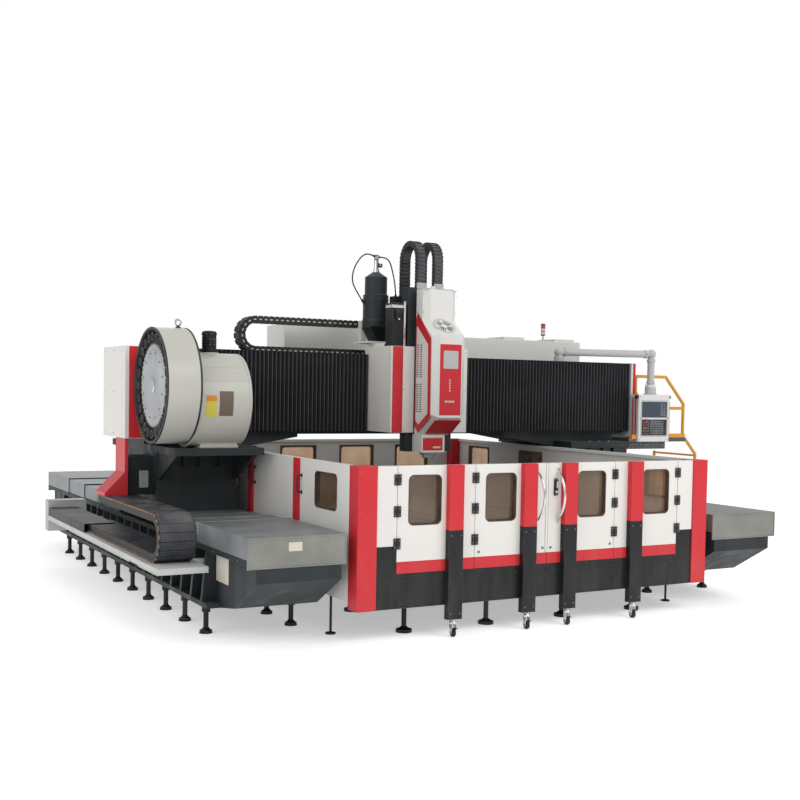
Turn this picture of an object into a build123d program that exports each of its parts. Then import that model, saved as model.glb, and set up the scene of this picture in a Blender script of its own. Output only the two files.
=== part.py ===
from build123d import *
import math
import os

os.makedirs("parts", exist_ok=True)

# Moving gantry machining centre with its table enclosure. Millimetres, Z up.
# Working coordinates: x = 0 midway between the two beds, X to the right along the crossbeam,
# y = 0 on the front face of the folding doors, Y back along the beds, z = 0 on the floor.
# The last lines move everything so that the origin is on the floor under the middle of the footprint.

# Clearances
SEAT_GAP = 0.3            # running gap at rails, pins and wipers
PART_GAP = 6.0            # gap between pieces that move past each other
OVER = 1.0                # how far a cutting tool runs past the face it cuts

# Enclosure
TABLE_BASE_HALF = 1350.0
CHIP_PAN_W = 488.0
PANEL_T = 40.0
ENC_HALF = TABLE_BASE_HALF + CHIP_PAN_W + PANEL_T  # half of the outside width
ENC_TOP = 1450.0
ENC_DEPTH = 4600.0
APRON_BOTTOM = 272.0
CORNER_W = 175.0
CORNER_D = 162.0
CORNER_PROUD = 14.0       # how far a front corner post stands proud of the door faces
DOOR_HALF = ENC_HALF - CORNER_W - 191.0  # hinge line of the outer leaves
LEAF_GAP = 4.0
WIN_OFFSET = 493.0        # window centre from the leaf's inner edge
WIN_W = 312.0
WIN_BOTTOM = 957.0
WIN_TOP = 1370.0
WIN_R = 45.0
GLASS_T = 6.0
GLASS_LAP = 18.0
DOOR_POST_OFFSET = 219.0  # post centre from the leaf's inner edge
DOOR_POST_W = 138.0
DOOR_POST_D = 62.0
DOOR_POST_BOTTOM = 152.0
HINGE_ROWS = (810.0, 1075.0, 1336.0)
HINGE_W = 66.0
HINGE_H = 90.0
HINGE_T = 20.0
CASTER_R = 38.0
CASTER_W = 30.0
CASTER_CROWN = 88.0       # top of the fork above the floor
FORK_T = 5.0
FORK_HALF_D = 26.0
CASTER_STEM_R = 13.0
HANDLE_X = 108.0
HANDLE_LOW = 930.0
HANDLE_HIGH = 1390.0
HANDLE_BOW = 110.0
HANDLE_R = 11.0
LOCK_X = (72.0, 98.0)
LOCK_Z = (1172.0, 1300.0)
LOCK_T = 12.0
WALL_LOW = 330.0
WALL_RAIL_W = 60.0
WALL_RAIL_H = 30.0
TRIM_W = 110.0
TRIM_T = 22.0
TRIM_LOW = 850.0
SIDE_TRIMS = (1190.0, ENC_DEPTH / 2, ENC_DEPTH - 1190.0)
SIDE_WINDOWS = (600.0, ENC_DEPTH - 1740.0, ENC_DEPTH - 620.0)
SIDE_WIN_W = 440.0
SIDE_WIN_BOTTOM = 1050.0
SIDE_WIN_TOP = 1360.0
BACK_WINDOWS = (-1180.0, -395.0, 395.0, 1180.0)
WALL_TIES = (700.0, ENC_DEPTH / 2, ENC_DEPTH - 700.0)
WALL_TIE_W = 90.0
WALL_TIE_Z = (420.0, 480.0)

# Beds and their feet
BED_IN = ENC_HALF + 92.0
BED_OUT = BED_IN + 845.0
BED_FLARE = 45.0
BED_BOTTOM = 240.0
BED_TOP = 740.0
BED_WALL_IN = 40.0        # how far the inner wall is set back under the top flange
BED_WALL_OUT = 80.0
NOSE_LEN = 780.0
NOSE_LOW = 555.0
NOSE_KNEE = (450.0, 290.0)
RIB_STEP = 279.0
RIB_T = 40.0
GUIDE_W = 70.0
GUIDE_H = 50.0
GUIDE_INSET = 170.0
FOOT_FIRST = 969.0
FOOT_STEP = 558.0
FOOT_ROWS = 10
FOOT_PAD_R = 52.0
FOOT_PAD_H = 26.0
FOOT_STEM_R = 22.0
FOOT_NUT_R = 36.0
FOOT_NUT_H = 60.0
FOOT_INSET = 20.0
WALL_PAD_R = 45.0
WALL_PAD_H = 12.0
WALL_STEM_R = 11.0
WALL_FEET = (505.0, ENC_DEPTH / 2, ENC_DEPTH - 505.0)

# Way covers
COVER_TOP = 917.0
COVER_SKIRT = 746.0
COVER_T = 3.0
COVER_STEP = 12.0         # how much smaller each nested cover is, on every side
COVER_LEN = 1150.0
COVER_MIN_SHOW = 30.0     # what still shows of a cover when the stack is shut
COVER_LAP = 65.0          # what stays hidden of a cover when the stack is open
COVER_SLIDERS = 3         # moving covers in each stack; the last one is fixed to the carriage
WIPER_LEN = 10.0
END_PLATE_T = 5.0
END_PLATE_BOTTOM = 672.0

# Work table
TABLE_HALF = 1250.0
TABLE_FRONT = 400.0
TABLE_BACK = ENC_DEPTH - 300.0
TABLE_TOP = 780.0
TABLE_T = 220.0
TABLE_BASE_FRONT = 220.0
TABLE_BASE_BACK = ENC_DEPTH - 150.0
TABLE_FOOT_EDGE = 95.0
TABLE_FOOT_ROWS = 5
TABLE_PAD_R = 70.0
CHIP_PAN_Z = (345.0, 360.0)
CHIP_PAN_BACK = ENC_DEPTH - 170.0

# Gantry
CARRIAGE_LEN = 1500.0
CARRIAGE_FRONT = 2280.0   # where the carriage stands in the photographed pose
CARRIAGE_OUT = BED_OUT + 42.0
CARRIAGE_IN = BED_IN + 28.0
CARRIAGE_TOP = 1512.0
CARRIAGE_FLANGE = 66.0
CARRIAGE_WAIST = 26.0     # how far the column's walls stand back between its flanges
CARRIAGE_FOOT_H = 130.0
POCKET_CENTRES = (CARRIAGE_IN + 245.0, CARRIAGE_IN + 447.0, CARRIAGE_IN + 605.0)
POCKET_W = 62.0
POCKET_Z = (1304.0, 1440.0)
POCKET_DEEP = 60.0
SHELF_FRONT = 1690.0
SHELF_ARM_W = 40.0
SHELF_ARM_LOW = 1180.0
GUSSET_END = CARRIAGE_IN - 738.0
GUSSET_LIP = 30.0
BEAM_HALF = CARRIAGE_OUT + 223.0
BEAM_LEFT = -CARRIAGE_OUT - 48.0
BEAM_RIGHT = CARRIAGE_OUT + 163.0
BEAM_FRONT = 2620.0
BEAM_BACK = 3280.0
BEAM_BOTTOM = 1600.0
BEAM_TOP = 2420.0
BEAM_RAIL_Z = (1745.0, 2290.0)
BEAM_RAIL_H = 55.0
BEAM_RAIL_T = 40.0
BELLOWS_FRONT = 2490.0
BELLOWS_BACK = 2574.0
BELLOWS_LOW = 1628.0
BELLOWS_HIGH = 2438.0
END_TOP = 2440.0
END_LOW = 1568.0
END_FRONT = 2480.0
BOOT_TOE = BEAM_HALF + 188.0
BOOT_IN = BEAM_HALF - 30.0
BOOT_BACK = 2800.0
BOOT_BEND = 1250.0
BOOT_LOW = 1032.0
BOOT_LIP = 25.0
BOOT_ARM_TOP = 1400.0
CABINET_LEFT = -1130.0
CABINET_RIGHT = CARRIAGE_OUT + 13.0
CABINET_STEP = -200.0     # right end of the cabinet's taller left part
CABINET_RISE = 62.0
CABINET_FRONT = 3300.0
CABINET_BACK = 3800.0
CABINET_LOW = 1640.0
CABINET_TOP = 2700.0
CABINET_MOUNT_INSET = 60.0
LID_W = 290.0
LID_H = 34.0
LID_INSET = 60.0
LIDS = (430.0, CABINET_RIGHT - 1100.0, CABINET_RIGHT - 340.0)
LAMP_X = CABINET_RIGHT - 390.0
LAMP_R = 30.0
LAMP_FOOT_H = 16.0
LAMP_POLE_R = 11.0
LAMP_POLE_H = 70.0
LAMP_TOWER_H = 150.0

# Tool magazine
MAG_Y = 1940.0
MAG_Z = 2070.0
MAG_LEFT = -CARRIAGE_OUT - 145.0
MAG_R = 525.0
MAG_DEPTH = 310.0
MAG_WALL = 14.0
MAG_FACE = 60.0           # depth of the open tool ring
HOUSING_R = 430.0
HOUSING_Z = 1946.0
HOUSING_RIGHT = -CARRIAGE_IN - 192.0
MAG_FOOT_X = (-CARRIAGE_IN - 592.0, -CARRIAGE_IN - 242.0)
MAG_FOOT_HALF = 180.0
MAG_FOOT_TOP = 1580.0
DISC_R = 498.0
DISC_T = 22.0
POCKETS = 24
POCKET_R = 44.0
POCKET_RING = 440.0
POCKET_PROUD = 52.0
HUB_R = 378.0
HUB_PROUD = 36.0
MAG_MOTOR_X = -CARRIAGE_IN - 457.0
MAG_MOTOR_R = 70.0
MAG_MOTOR_H = 200.0
MAG_MOTOR_FLANGE_R = 84.0
MAG_MOTOR_ROUND = 24.0
EYE_X = MAG_LEFT + 252.0
EYE_R = 26.0
EYE_WIRE_R = 9.0

# Saddle and ram
SADDLE_LEFT = -510.0
SADDLE_RIGHT = 390.0
SADDLE_FRONT = 2000.0
SADDLE_LOW = 1636.0
SADDLE_TOP = 2516.0
SADDLE_PAD_INSET = 60.0
RAM_X = -50.0
SLOT_HALF = 270.0
SLOT_DEPTH = 150.0
LIP_T = 22.0
RAM_LOW = 1442.0
RAM_TOP = 3120.0
HEAD_HALF = 190.0
HEAD_FRONT = 1600.0
HEAD_UPPER_FRONT = 1800.0
HEAD_BACK = 1985.0
HEAD_TOP = 3090.0
HEAD_SLANT_TOP = 2795.0
HEAD_SLANT_LOW = 2640.0
HEAD_LOW = 1800.0
HEAD_CHIN = 1620.0
HEAD_CHIN_FRONT = 1850.0
HEAD_CHAMFER = 60.0
NECK_TOP = 3070.0
BOX_W = 270.0
BOX_FRONT = 1830.0
SPINDLE_Y = 1930.0
SPINDLE_R = 90.0
SPINDLE_FLANGE_T = 26.0
SPINDLE_NOSE_R = 64.0
SPINDLE_END = 1384.0
SPINDLE_BORE_R = 35.0
SPINDLE_BORE_DEEP = 50.0

# What stands on the saddle
DECK_FRONT = 2190.0
DECK_SIDE = 30.0
DECK_T = 40.0
DECK_TOP_T = 20.0
DECK_PLATE_X = (-545.0, -235.0)
DECK_PLATE_FRONT = 2440.0
DECK_PLATE_BACK = 2815.0
DRIVE_X = (-495.0, -345.0)
DRIVE_Y = (2020.0, 2170.0)
DRIVE_TOP = 2932.0
DRIVE_CAP_H = 18.0
DRIVE_CAP_RIM = 5.0
MAST_X = (-200.0, 80.0)
MAST_FRONT = 2200.0
ANCHOR_X = (-310.0, 110.0)
ANCHOR_Y = (2340.0, 2440.0)
ANCHOR_LOW = 2964.0
ANCHOR_TOP = 3048.0
CHAIN_POST_X = (-480.0, -420.0)
CHAIN_POST_FRONT = 2750.0

# Bottle
BOTTLE_X = -390.0
BOTTLE_Y = 2600.0
BOTTLE_R = 135.0
BOTTLE_LOW = 2720.0
BOTTLE_MID = BOTTLE_LOW + 345.0
BOTTLE_UPPER_R = 118.0
BOTTLE_SHOULDER = BOTTLE_MID + 190.0
BOTTLE_NECK = BOTTLE_SHOULDER + 55.0
BOTTLE_NECK_R = 36.0
CRADLE_FOOT_R = 70.0
CRADLE_RIM = 10.0
VALVE_TOP = BOTTLE_NECK + 180.0
VALVE_STEM_R = 20.0
VALVE_HEAD_R = 26.0
VALVE_HEAD_H = 50.0
VALVE_TAP_Z = VALVE_TOP - 105.0
VALVE_KNOB_R = 24.0
VALVE_KNOB_X = (22.0, 62.0)

# Hoses: diameter, gland and the points of their routes
HOSE_R = 7.0
GLAND_R = 12.0
ARC_SHARE = 0.45          # share of the shorter run that each end of an arc takes up
LONG_HOSE_ROUTE = [       # offsets from the top of the valve
    (-38, 0, -8), (-109, 0, 15), (-184, -8, -28), (-250, -16, -114),
    (-290, -20, -214), (-287, -16, -305), (-234, -6, -392), (-167, 0, -478),
]
SHORT_HOSE_ROUTE = [
    (38, -12, -20), (94, -32, -22), (134, -55, -65), (146, -85, -155),
    (147, -130, -255), (140, -170, -345),
]
SHORT_HOSE_END = (50, 60, 20)  # from the front left corner of the anchor plate

# Cable chains
CHAIN_T = 75.0
BED_CHAIN_OUT = BED_OUT + 447.0
BED_CHAIN_IN = BED_OUT + 135.0
BED_CHAIN_BEND = 765.0    # front of the bend
BED_CHAIN_FIXED = 3400.0
BED_CHAIN_END = 2740.0
BEAM_CHAIN_FRONT = 2825.0
BEAM_CHAIN_BACK = 2975.0
BEAM_CHAIN_BEND = -1834.0
BEAM_CHAIN_H = 385.0
BEAM_CHAIN_FIXED = -390.0
RAM_CHAIN_X = (-160.0, 42.0)
RAM_CHAIN_W = 104.0
RAM_CHAIN_T = 56.0
RAM_CHAIN_FRONT = 2030.0
RAM_CHAIN_BACK = 2416.0
RAM_CHAIN_TOP = 3616.0

# Cable tray beside the left bed
TRAY_OUT = BED_OUT + 505.0
TRAY_IN = BED_OUT + 90.0
TRAY_FRONT = 605.0
TRAY_BACK = 4700.0
TRAY_TOP = 620.0
TRAY_T = 8.0
TRAY_RIM = 50.0
TRAY_ARM_FIRST = 1040.0   # between two of the bed's ribs
TRAY_ARM_STEP = 3 * RIB_STEP
TRAY_ARM_W = 40.0
TRAY_ARM_H = 55.0
TRAY_BOX_BACK = 4860.0
TRAY_BOX_Z = (445.0, 778.0)

# Pendant
PIVOT_X = CABINET_RIGHT - 798.0
PIVOT_Y = 2660.0
PIVOT_R = 58.0
PIVOT_H = 80.0
ARM_Z = 2550.0
ARM_R = 42.0
ELBOW_R = 57.0
ARM_END_X = CARRIAGE_OUT + 333.0
ARM_END_Y = 2330.0
PENDANT_W = 480.0
PENDANT_D = 170.0
PENDANT_LOW = 1512.0
PENDANT_TOP = 2070.0
PENDANT_ROUND = 18.0
COUPLING_TOP = 2190.0
COUPLING_R = 62.0

# Access platform on the right end of the gantry
PLATFORM_LEFT = CARRIAGE_OUT + 263.0
PLATFORM_RIGHT = PLATFORM_LEFT + 920.0
PLATFORM_FRONT = 2620.0
PLATFORM_BACK = 3420.0
PLATFORM_Z = 1540.0
PLATFORM_T = 50.0
PLATFORM_BEARERS = (2660.0, 3120.0)
BEARER_W = 50.0
BEARER_H = 90.0
BEARER_RIGHT = PLATFORM_LEFT + 620.0
TUBE_R = 19.0
RAIL_HIGH = 2290.0
RAIL_CORNER_Z = 1960.0
RAIL_MID = 1905.0
RAIL_POST_LEFT = PLATFORM_LEFT + 105.0
RAIL_CORNER_X = PLATFORM_LEFT + 585.0
RAIL_POST_RIGHT = PLATFORM_RIGHT - 35.0
LADDER_TOP = (PLATFORM_RIGHT + 10.0, PLATFORM_Z - 20.0)
LADDER_X = PLATFORM_RIGHT + 185.0
LADDER_BEND = 1330.0
LADDER_LOW = 300.0
RUNG_FIRST = 350.0
RUNG_STEP = 240.0
RUNG_R = 13.0

# Values worked out from the sizes above
LEAF_W = DOOR_HALF / 2
COVER_SHUT = COVER_LEN + COVER_SLIDERS * COVER_MIN_SHOW
COVER_OPEN = COVER_LEN + COVER_SLIDERS * (COVER_LEN - COVER_LAP)
BED_LEN = COVER_SHUT + COVER_OPEN + CARRIAGE_LEN
CARRIAGE_BACK = CARRIAGE_FRONT + CARRIAGE_LEN
GUIDE_TOP = BED_TOP + GUIDE_H
HEAD_LEFT = RAM_X - HEAD_HALF
HEAD_RIGHT = RAM_X + HEAD_HALF
SLIDE_FRONT = SADDLE_FRONT + LIP_T + SEAT_GAP
SLIDE_BACK = SADDLE_FRONT + SLOT_DEPTH - SEAT_GAP
SPINDLE_X = HEAD_LEFT + BOX_W / 2
DECK_Z = SADDLE_TOP + DECK_T
LONG_HOSE = [(BOTTLE_X + x, BOTTLE_Y + y, VALVE_TOP + z) for x, y, z in LONG_HOSE_ROUTE]
SHORT_HOSE = [(BOTTLE_X + x, BOTTLE_Y + y, VALVE_TOP + z) for x, y, z in SHORT_HOSE_ROUTE]
SHORT_HOSE.append((ANCHOR_X[0] + SHORT_HOSE_END[0], ANCHOR_Y[0] + SHORT_HOSE_END[1],
                   ANCHOR_TOP + SHORT_HOSE_END[2]))

ALONG_X = Rotation(0, 90, 0)
ALONG_Y = Rotation(90, 0, 0)

pieces = {}


def block(x0, x1, y0, y1, z0, z1):
    return Pos((x0 + x1) / 2, (y0 + y1) / 2, (z0 + z1) / 2) * Box(x1 - x0, y1 - y0, z1 - z0)


def disc_x(x0, x1, y, z, radius):
    """Cylinder along X."""
    return Pos((x0 + x1) / 2, y, z) * ALONG_X * Cylinder(radius, x1 - x0)


def disc_z(x, y, z0, z1, radius):
    """Upright cylinder."""
    return Pos(x, y, (z0 + z1) / 2) * Cylinder(radius, z1 - z0)


def rod(start, end, radius):
    """Round bar from one point to another."""
    path = Vector(*end) - Vector(*start)
    plane = Plane(origin=start, z_dir=path.normalized())
    return extrude(plane * Circle(radius), amount=path.length)


def side_shape(points, x0, x1):
    """Outline of (y, z) points that runs from x0 to x1."""
    face = make_face(Polyline(*[(x0, y, z) for y, z in points], close=True))
    return extrude(face, amount=x1 - x0, dir=(1, 0, 0))


def front_shape(points, y0, y1):
    """Outline of (x, z) points that runs from y0 to y1."""
    face = make_face(Polyline(*[(x, y0, z) for x, z in points], close=True))
    return extrude(face, amount=y1 - y0, dir=(0, 1, 0))


def both_sides(*solids):
    return [solid for piece in solids for solid in (piece, mirror(piece, about=Plane.YZ))]


def node(name, *solids):
    parts = []
    for piece in solids:
        for item in piece if isinstance(piece, (list, tuple)) else [piece]:
            parts += item.solids()
    pieces[name] = Compound(parts)


def window_cut(plane, centre, low, high, width):
    """Prism through a panel, for a window with rounded corners."""
    outline = RectangleRounded(width, high - low, WIN_R)
    return extrude(plane * Pos(centre, (low + high) / 2) * outline, amount=PANEL_T, both=True)


def facing_front(y):
    return Plane(origin=(0, y, 0), x_dir=(1, 0, 0), z_dir=(0, -1, 0))


def facing_side(x):
    return Plane(origin=(x, 0, 0), x_dir=(0, 1, 0), z_dir=(1, 0, 0))


def levelling_foot(x, y, height, pad_r):
    """Pad, cone, screw and nut of one machine foot."""
    pad = disc_z(x, y, 0, FOOT_PAD_H, pad_r)
    cone = Pos(x, y, FOOT_PAD_H * 1.5) * Cone(pad_r * 0.8, FOOT_STEM_R, FOOT_PAD_H)
    stem = disc_z(x, y, 0, height, FOOT_STEM_R)
    nut = disc_z(x, y, height - FOOT_NUT_H, height, FOOT_NUT_R)
    return pad + cone + stem + nut


# Beds

def bed():
    """Right bed casting: sloped noses, ribbed outer side, two guide rails."""
    knee_y, knee_z = NOSE_KNEE
    profile = [
        (0, NOSE_LOW), (knee_y, knee_z), (NOSE_LEN, BED_BOTTOM), (BED_LEN - NOSE_LEN, BED_BOTTOM),
        (BED_LEN - knee_y, knee_z), (BED_LEN, NOSE_LOW), (BED_LEN, BED_TOP), (0, BED_TOP),
    ]
    wall = BED_OUT - BED_WALL_OUT
    body = side_shape(profile, BED_IN + BED_WALL_IN, wall)
    body += block(BED_IN, BED_OUT + BED_FLARE, NOSE_LEN, BED_LEN - NOSE_LEN, BED_BOTTOM, BED_BOTTOM + RIB_T)
    body += block(BED_IN, BED_OUT, 0, BED_LEN, BED_TOP - RIB_T, BED_TOP)
    ribs = int((BED_LEN - 2 * NOSE_LEN - RIB_T) // RIB_STEP)
    first = (BED_LEN - ribs * RIB_STEP - RIB_T) / 2
    for i in range(ribs + 1):
        y = first + i * RIB_STEP
        body += front_shape(
            [(wall, BED_BOTTOM), (BED_OUT + BED_FLARE, BED_BOTTOM), (BED_OUT, BED_TOP), (wall, BED_TOP)],
            y, y + RIB_T)
    for x in (BED_IN + GUIDE_INSET, BED_OUT - GUIDE_INSET - GUIDE_W):
        body += block(x, x + GUIDE_W, COVER_STEP, BED_LEN - COVER_STEP, BED_TOP, GUIDE_TOP)
    return body


def machine_feet():
    """Feet of the beds, the table base and the enclosure's walls."""
    feet = []
    for i in range(FOOT_ROWS):
        y = FOOT_FIRST + i * FOOT_STEP
        for x in (BED_OUT - FOOT_INSET, BED_IN + FOOT_PAD_R):
            feet += both_sides(levelling_foot(x, y, BED_BOTTOM, FOOT_PAD_R))
    outer = TABLE_BASE_HALF - TABLE_FOOT_EDGE
    depth = TABLE_BASE_BACK - TABLE_BASE_FRONT - 2 * TABLE_FOOT_EDGE
    for i in range(TABLE_FOOT_ROWS):
        y = TABLE_BASE_FRONT + TABLE_FOOT_EDGE + i * depth / (TABLE_FOOT_ROWS - 1)
        for x in (outer / 3, outer):
            feet += both_sides(levelling_foot(x, y, APRON_BOTTOM, TABLE_PAD_R))
    for y in WALL_FEET:
        x = ENC_HALF - PANEL_T / 2
        foot = disc_z(x, y, 0, WALL_PAD_H, WALL_PAD_R) + disc_z(x, y, 0, WALL_LOW, WALL_STEM_R)
        feet += both_sides(foot)
    return feet


# Way covers

def way_cover(level, y0, wiper_end):
    """Inverted trough over the right bed; wiper_end is +1 or -1, the end that has the wiper."""
    inset = level * COVER_STEP
    x0, x1 = BED_IN + inset, BED_OUT - inset
    top = COVER_TOP - inset
    y1 = y0 + COVER_LEN
    skin = block(x0, x1, y0, y1, COVER_SKIRT, top)
    skin -= block(x0 + COVER_T, x1 - COVER_T, y0 - OVER, y1 + OVER, COVER_SKIRT - OVER, top - COVER_T)
    if level < COVER_SLIDERS:
        lip = COVER_STEP - SEAT_GAP
        w0, w1 = (y1 - WIPER_LEN, y1) if wiper_end > 0 else (y0, y0 + WIPER_LEN)
        ring = block(x0, x1, w0, w1, COVER_SKIRT, top)
        ring -= block(x0 + lip, x1 - lip, w0 - OVER, w1 + OVER, COVER_SKIRT - OVER, top - lip)
        skin += ring
    return skin


def way_covers():
    front_show = (CARRIAGE_FRONT - COVER_LEN) / COVER_SLIDERS
    rear_show = (BED_LEN - CARRIAGE_BACK - COVER_LEN) / COVER_SLIDERS
    front = [i * front_show for i in range(COVER_SLIDERS + 1)]
    rear = [BED_LEN - COVER_LEN - i * rear_show for i in range(COVER_SLIDERS + 1)]
    node("fixed_way_covers", both_sides(way_cover(0, front[0], 1), way_cover(0, rear[0], -1)))
    for i in range(1, COVER_SLIDERS):
        node(f"front_way_cover_{i}", both_sides(way_cover(i, front[i], 1)))
        node(f"rear_way_cover_{i}", both_sides(way_cover(i, rear[i], -1)))
    node("carriage_way_covers", both_sides(
        way_cover(COVER_SLIDERS, front[-1], 1), way_cover(COVER_SLIDERS, rear[-1], -1)))
    plates = [
        block(BED_IN, BED_OUT, y, y + END_PLATE_T, END_PLATE_BOTTOM, COVER_TOP)
        for y in (-END_PLATE_T, BED_LEN)
    ]
    node("cover_end_plates", both_sides(*plates))


# Enclosure front

def door_leaf(inner_x):
    """Right-hand leaf whose inner edge is at inner_x."""
    leaf = block(inner_x + LEAF_GAP / 2, inner_x + LEAF_W - LEAF_GAP / 2, 0, PANEL_T, APRON_BOTTOM, ENC_TOP)
    return leaf - window_cut(facing_front(PANEL_T / 2), inner_x + WIN_OFFSET, WIN_BOTTOM, WIN_TOP, WIN_W)


def door_post(inner_x):
    x = inner_x + DOOR_POST_OFFSET
    return block(x - DOOR_POST_W / 2, x + DOOR_POST_W / 2, -DOOR_POST_D, 0, DOOR_POST_BOTTOM, ENC_TOP)


def caster(inner_x):
    """Stem, fork, axle and wheel under a door post."""
    x = inner_x + DOOR_POST_OFFSET
    y = -DOOR_POST_D / 2
    inside = CASTER_W / 2 + OVER
    outside = inside + FORK_T
    stem = disc_z(x, y, CASTER_CROWN - FORK_T, DOOR_POST_BOTTOM, CASTER_STEM_R)
    fork = block(x - outside, x + outside, y - FORK_HALF_D, y + FORK_HALF_D, CASTER_R / 2, CASTER_CROWN)
    fork -= block(x - inside, x + inside, y - FORK_HALF_D - OVER, y + FORK_HALF_D + OVER,
                  CASTER_R / 2 - OVER, CASTER_CROWN - FORK_T)
    axle = disc_x(x - outside, x + outside, y, CASTER_R, FORK_T)
    wheel = disc_x(x - CASTER_W / 2, x + CASTER_W / 2, y, CASTER_R, CASTER_R)
    return stem + fork + axle + wheel


def door_hinges():
    plates = [
        block(x - HINGE_W / 2, x + HINGE_W / 2, -HINGE_T, 0, z - HINGE_H / 2, z + HINGE_H / 2)
        for x in (LEAF_W, DOOR_HALF) for z in HINGE_ROWS
    ]
    return both_sides(*plates)


def bow_handle():
    """Round bar that arches out from the door."""
    middle = (HANDLE_X, -HANDLE_BOW, (HANDLE_LOW + HANDLE_HIGH) / 2)
    arc = ThreePointArc((HANDLE_X, PANEL_T / 2, HANDLE_LOW), middle, (HANDLE_X, PANEL_T / 2, HANDLE_HIGH))
    bar = sweep(Plane(origin=arc @ 0, z_dir=arc % 0) * Circle(HANDLE_R), path=arc)
    half = HANDLE_R * 2
    return bar - block(HANDLE_X - half, HANDLE_X + half, 0, PANEL_T * 2,
                       HANDLE_LOW - PANEL_T * 2, HANDLE_HIGH + PANEL_T * 2)


def enclosure_front():
    node("outer_door_leaves", both_sides(door_leaf(LEAF_W)))
    node("inner_door_leaves", both_sides(door_leaf(0)))
    node("door_posts", both_sides(door_post(0), door_post(LEAF_W)))
    node("door_casters", both_sides(caster(0), caster(LEAF_W)))
    node("door_hinges", door_hinges())
    node("door_handles", both_sides(bow_handle()), block(*LOCK_X, -LOCK_T, 0, *LOCK_Z))
    inner = ENC_HALF - CORNER_W
    node("front_side_panels", both_sides(
        block(DOOR_HALF + LEAF_GAP / 2, inner, 0, PANEL_T, APRON_BOTTOM, ENC_TOP)))
    front = block(inner, ENC_HALF, -CORNER_PROUD, CORNER_D - CORNER_PROUD, APRON_BOTTOM, ENC_TOP)
    rear = block(ENC_HALF - CORNER_D, ENC_HALF, ENC_DEPTH - CORNER_D, ENC_DEPTH, WALL_LOW, ENC_TOP)
    node("corner_posts", both_sides(front, rear))


# Enclosure walls

def side_wall():
    """Right wall with its windows, top rail and the ties to the bed."""
    y0, y1 = CORNER_D - CORNER_PROUD, ENC_DEPTH - CORNER_D
    wall = block(ENC_HALF - PANEL_T, ENC_HALF, y0, y1, WALL_LOW, ENC_TOP)
    wall += block(ENC_HALF - WALL_RAIL_W, ENC_HALF, y0, y1, ENC_TOP - WALL_RAIL_H, ENC_TOP)
    for y in SIDE_WINDOWS:
        wall -= window_cut(facing_side(ENC_HALF - PANEL_T / 2), y, SIDE_WIN_BOTTOM, SIDE_WIN_TOP, SIDE_WIN_W)
    for y in WALL_TIES:
        wall += block(ENC_HALF, BED_IN + BED_WALL_IN, y, y + WALL_TIE_W, *WALL_TIE_Z)
    return wall


def back_wall():
    x = ENC_HALF - CORNER_D
    wall = block(-x, x, ENC_DEPTH - PANEL_T, ENC_DEPTH, WALL_LOW, ENC_TOP)
    wall += block(-x, x, ENC_DEPTH - WALL_RAIL_W, ENC_DEPTH, ENC_TOP - WALL_RAIL_H, ENC_TOP)
    for centre in BACK_WINDOWS:
        wall -= window_cut(facing_front(ENC_DEPTH - PANEL_T / 2), centre,
                           SIDE_WIN_BOTTOM, SIDE_WIN_TOP, SIDE_WIN_W)
    return wall


def windows():
    """Panes on the inner faces of the doors and walls."""
    panes = []
    for inner_x in (0, LEAF_W):
        x = inner_x + WIN_OFFSET
        half = WIN_W / 2 + GLASS_LAP
        panes += both_sides(block(x - half, x + half, PANEL_T, PANEL_T + GLASS_T,
                                  WIN_BOTTOM - GLASS_LAP, WIN_TOP + GLASS_LAP))
    half = SIDE_WIN_W / 2 + GLASS_LAP
    z0, z1 = SIDE_WIN_BOTTOM - GLASS_LAP, SIDE_WIN_TOP + GLASS_LAP
    inside = ENC_HALF - PANEL_T
    for y in SIDE_WINDOWS:
        panes += both_sides(block(inside - GLASS_T, inside, y - half, y + half, z0, z1))
    back = ENC_DEPTH - PANEL_T
    for x in BACK_WINDOWS:
        panes.append(block(x - half, x + half, back - GLASS_T, back, z0, z1))
    return panes


def wall_trims():
    strips = [
        block(ENC_HALF, ENC_HALF + TRIM_T, y - TRIM_W / 2, y + TRIM_W / 2, TRIM_LOW, ENC_TOP)
        for y in SIDE_TRIMS
    ]
    return both_sides(*strips)


# Cable tray

def cable_tray():
    """Folded tray on arms from the left bed, with a box at its rear end."""
    low = TRAY_TOP - TRAY_RIM
    tray = block(-TRAY_OUT, -TRAY_IN, TRAY_FRONT, TRAY_BACK, TRAY_TOP - TRAY_T, TRAY_TOP)
    tray += block(-TRAY_OUT, -TRAY_OUT + TRAY_T, TRAY_FRONT, TRAY_BACK, low, TRAY_TOP)
    tray += block(-TRAY_OUT, -TRAY_IN, TRAY_FRONT, TRAY_FRONT + TRAY_T, low, TRAY_TOP)
    tray += block(-TRAY_OUT, -TRAY_IN, TRAY_BACK, TRAY_BOX_BACK, *TRAY_BOX_Z)
    y = TRAY_ARM_FIRST
    while y < TRAY_BACK:
        tray += block(-TRAY_IN, BED_WALL_OUT - BED_OUT, y, y + TRAY_ARM_W, TRAY_TOP - TRAY_ARM_H, TRAY_TOP)
        y += TRAY_ARM_STEP
    return tray


# Gantry

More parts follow.
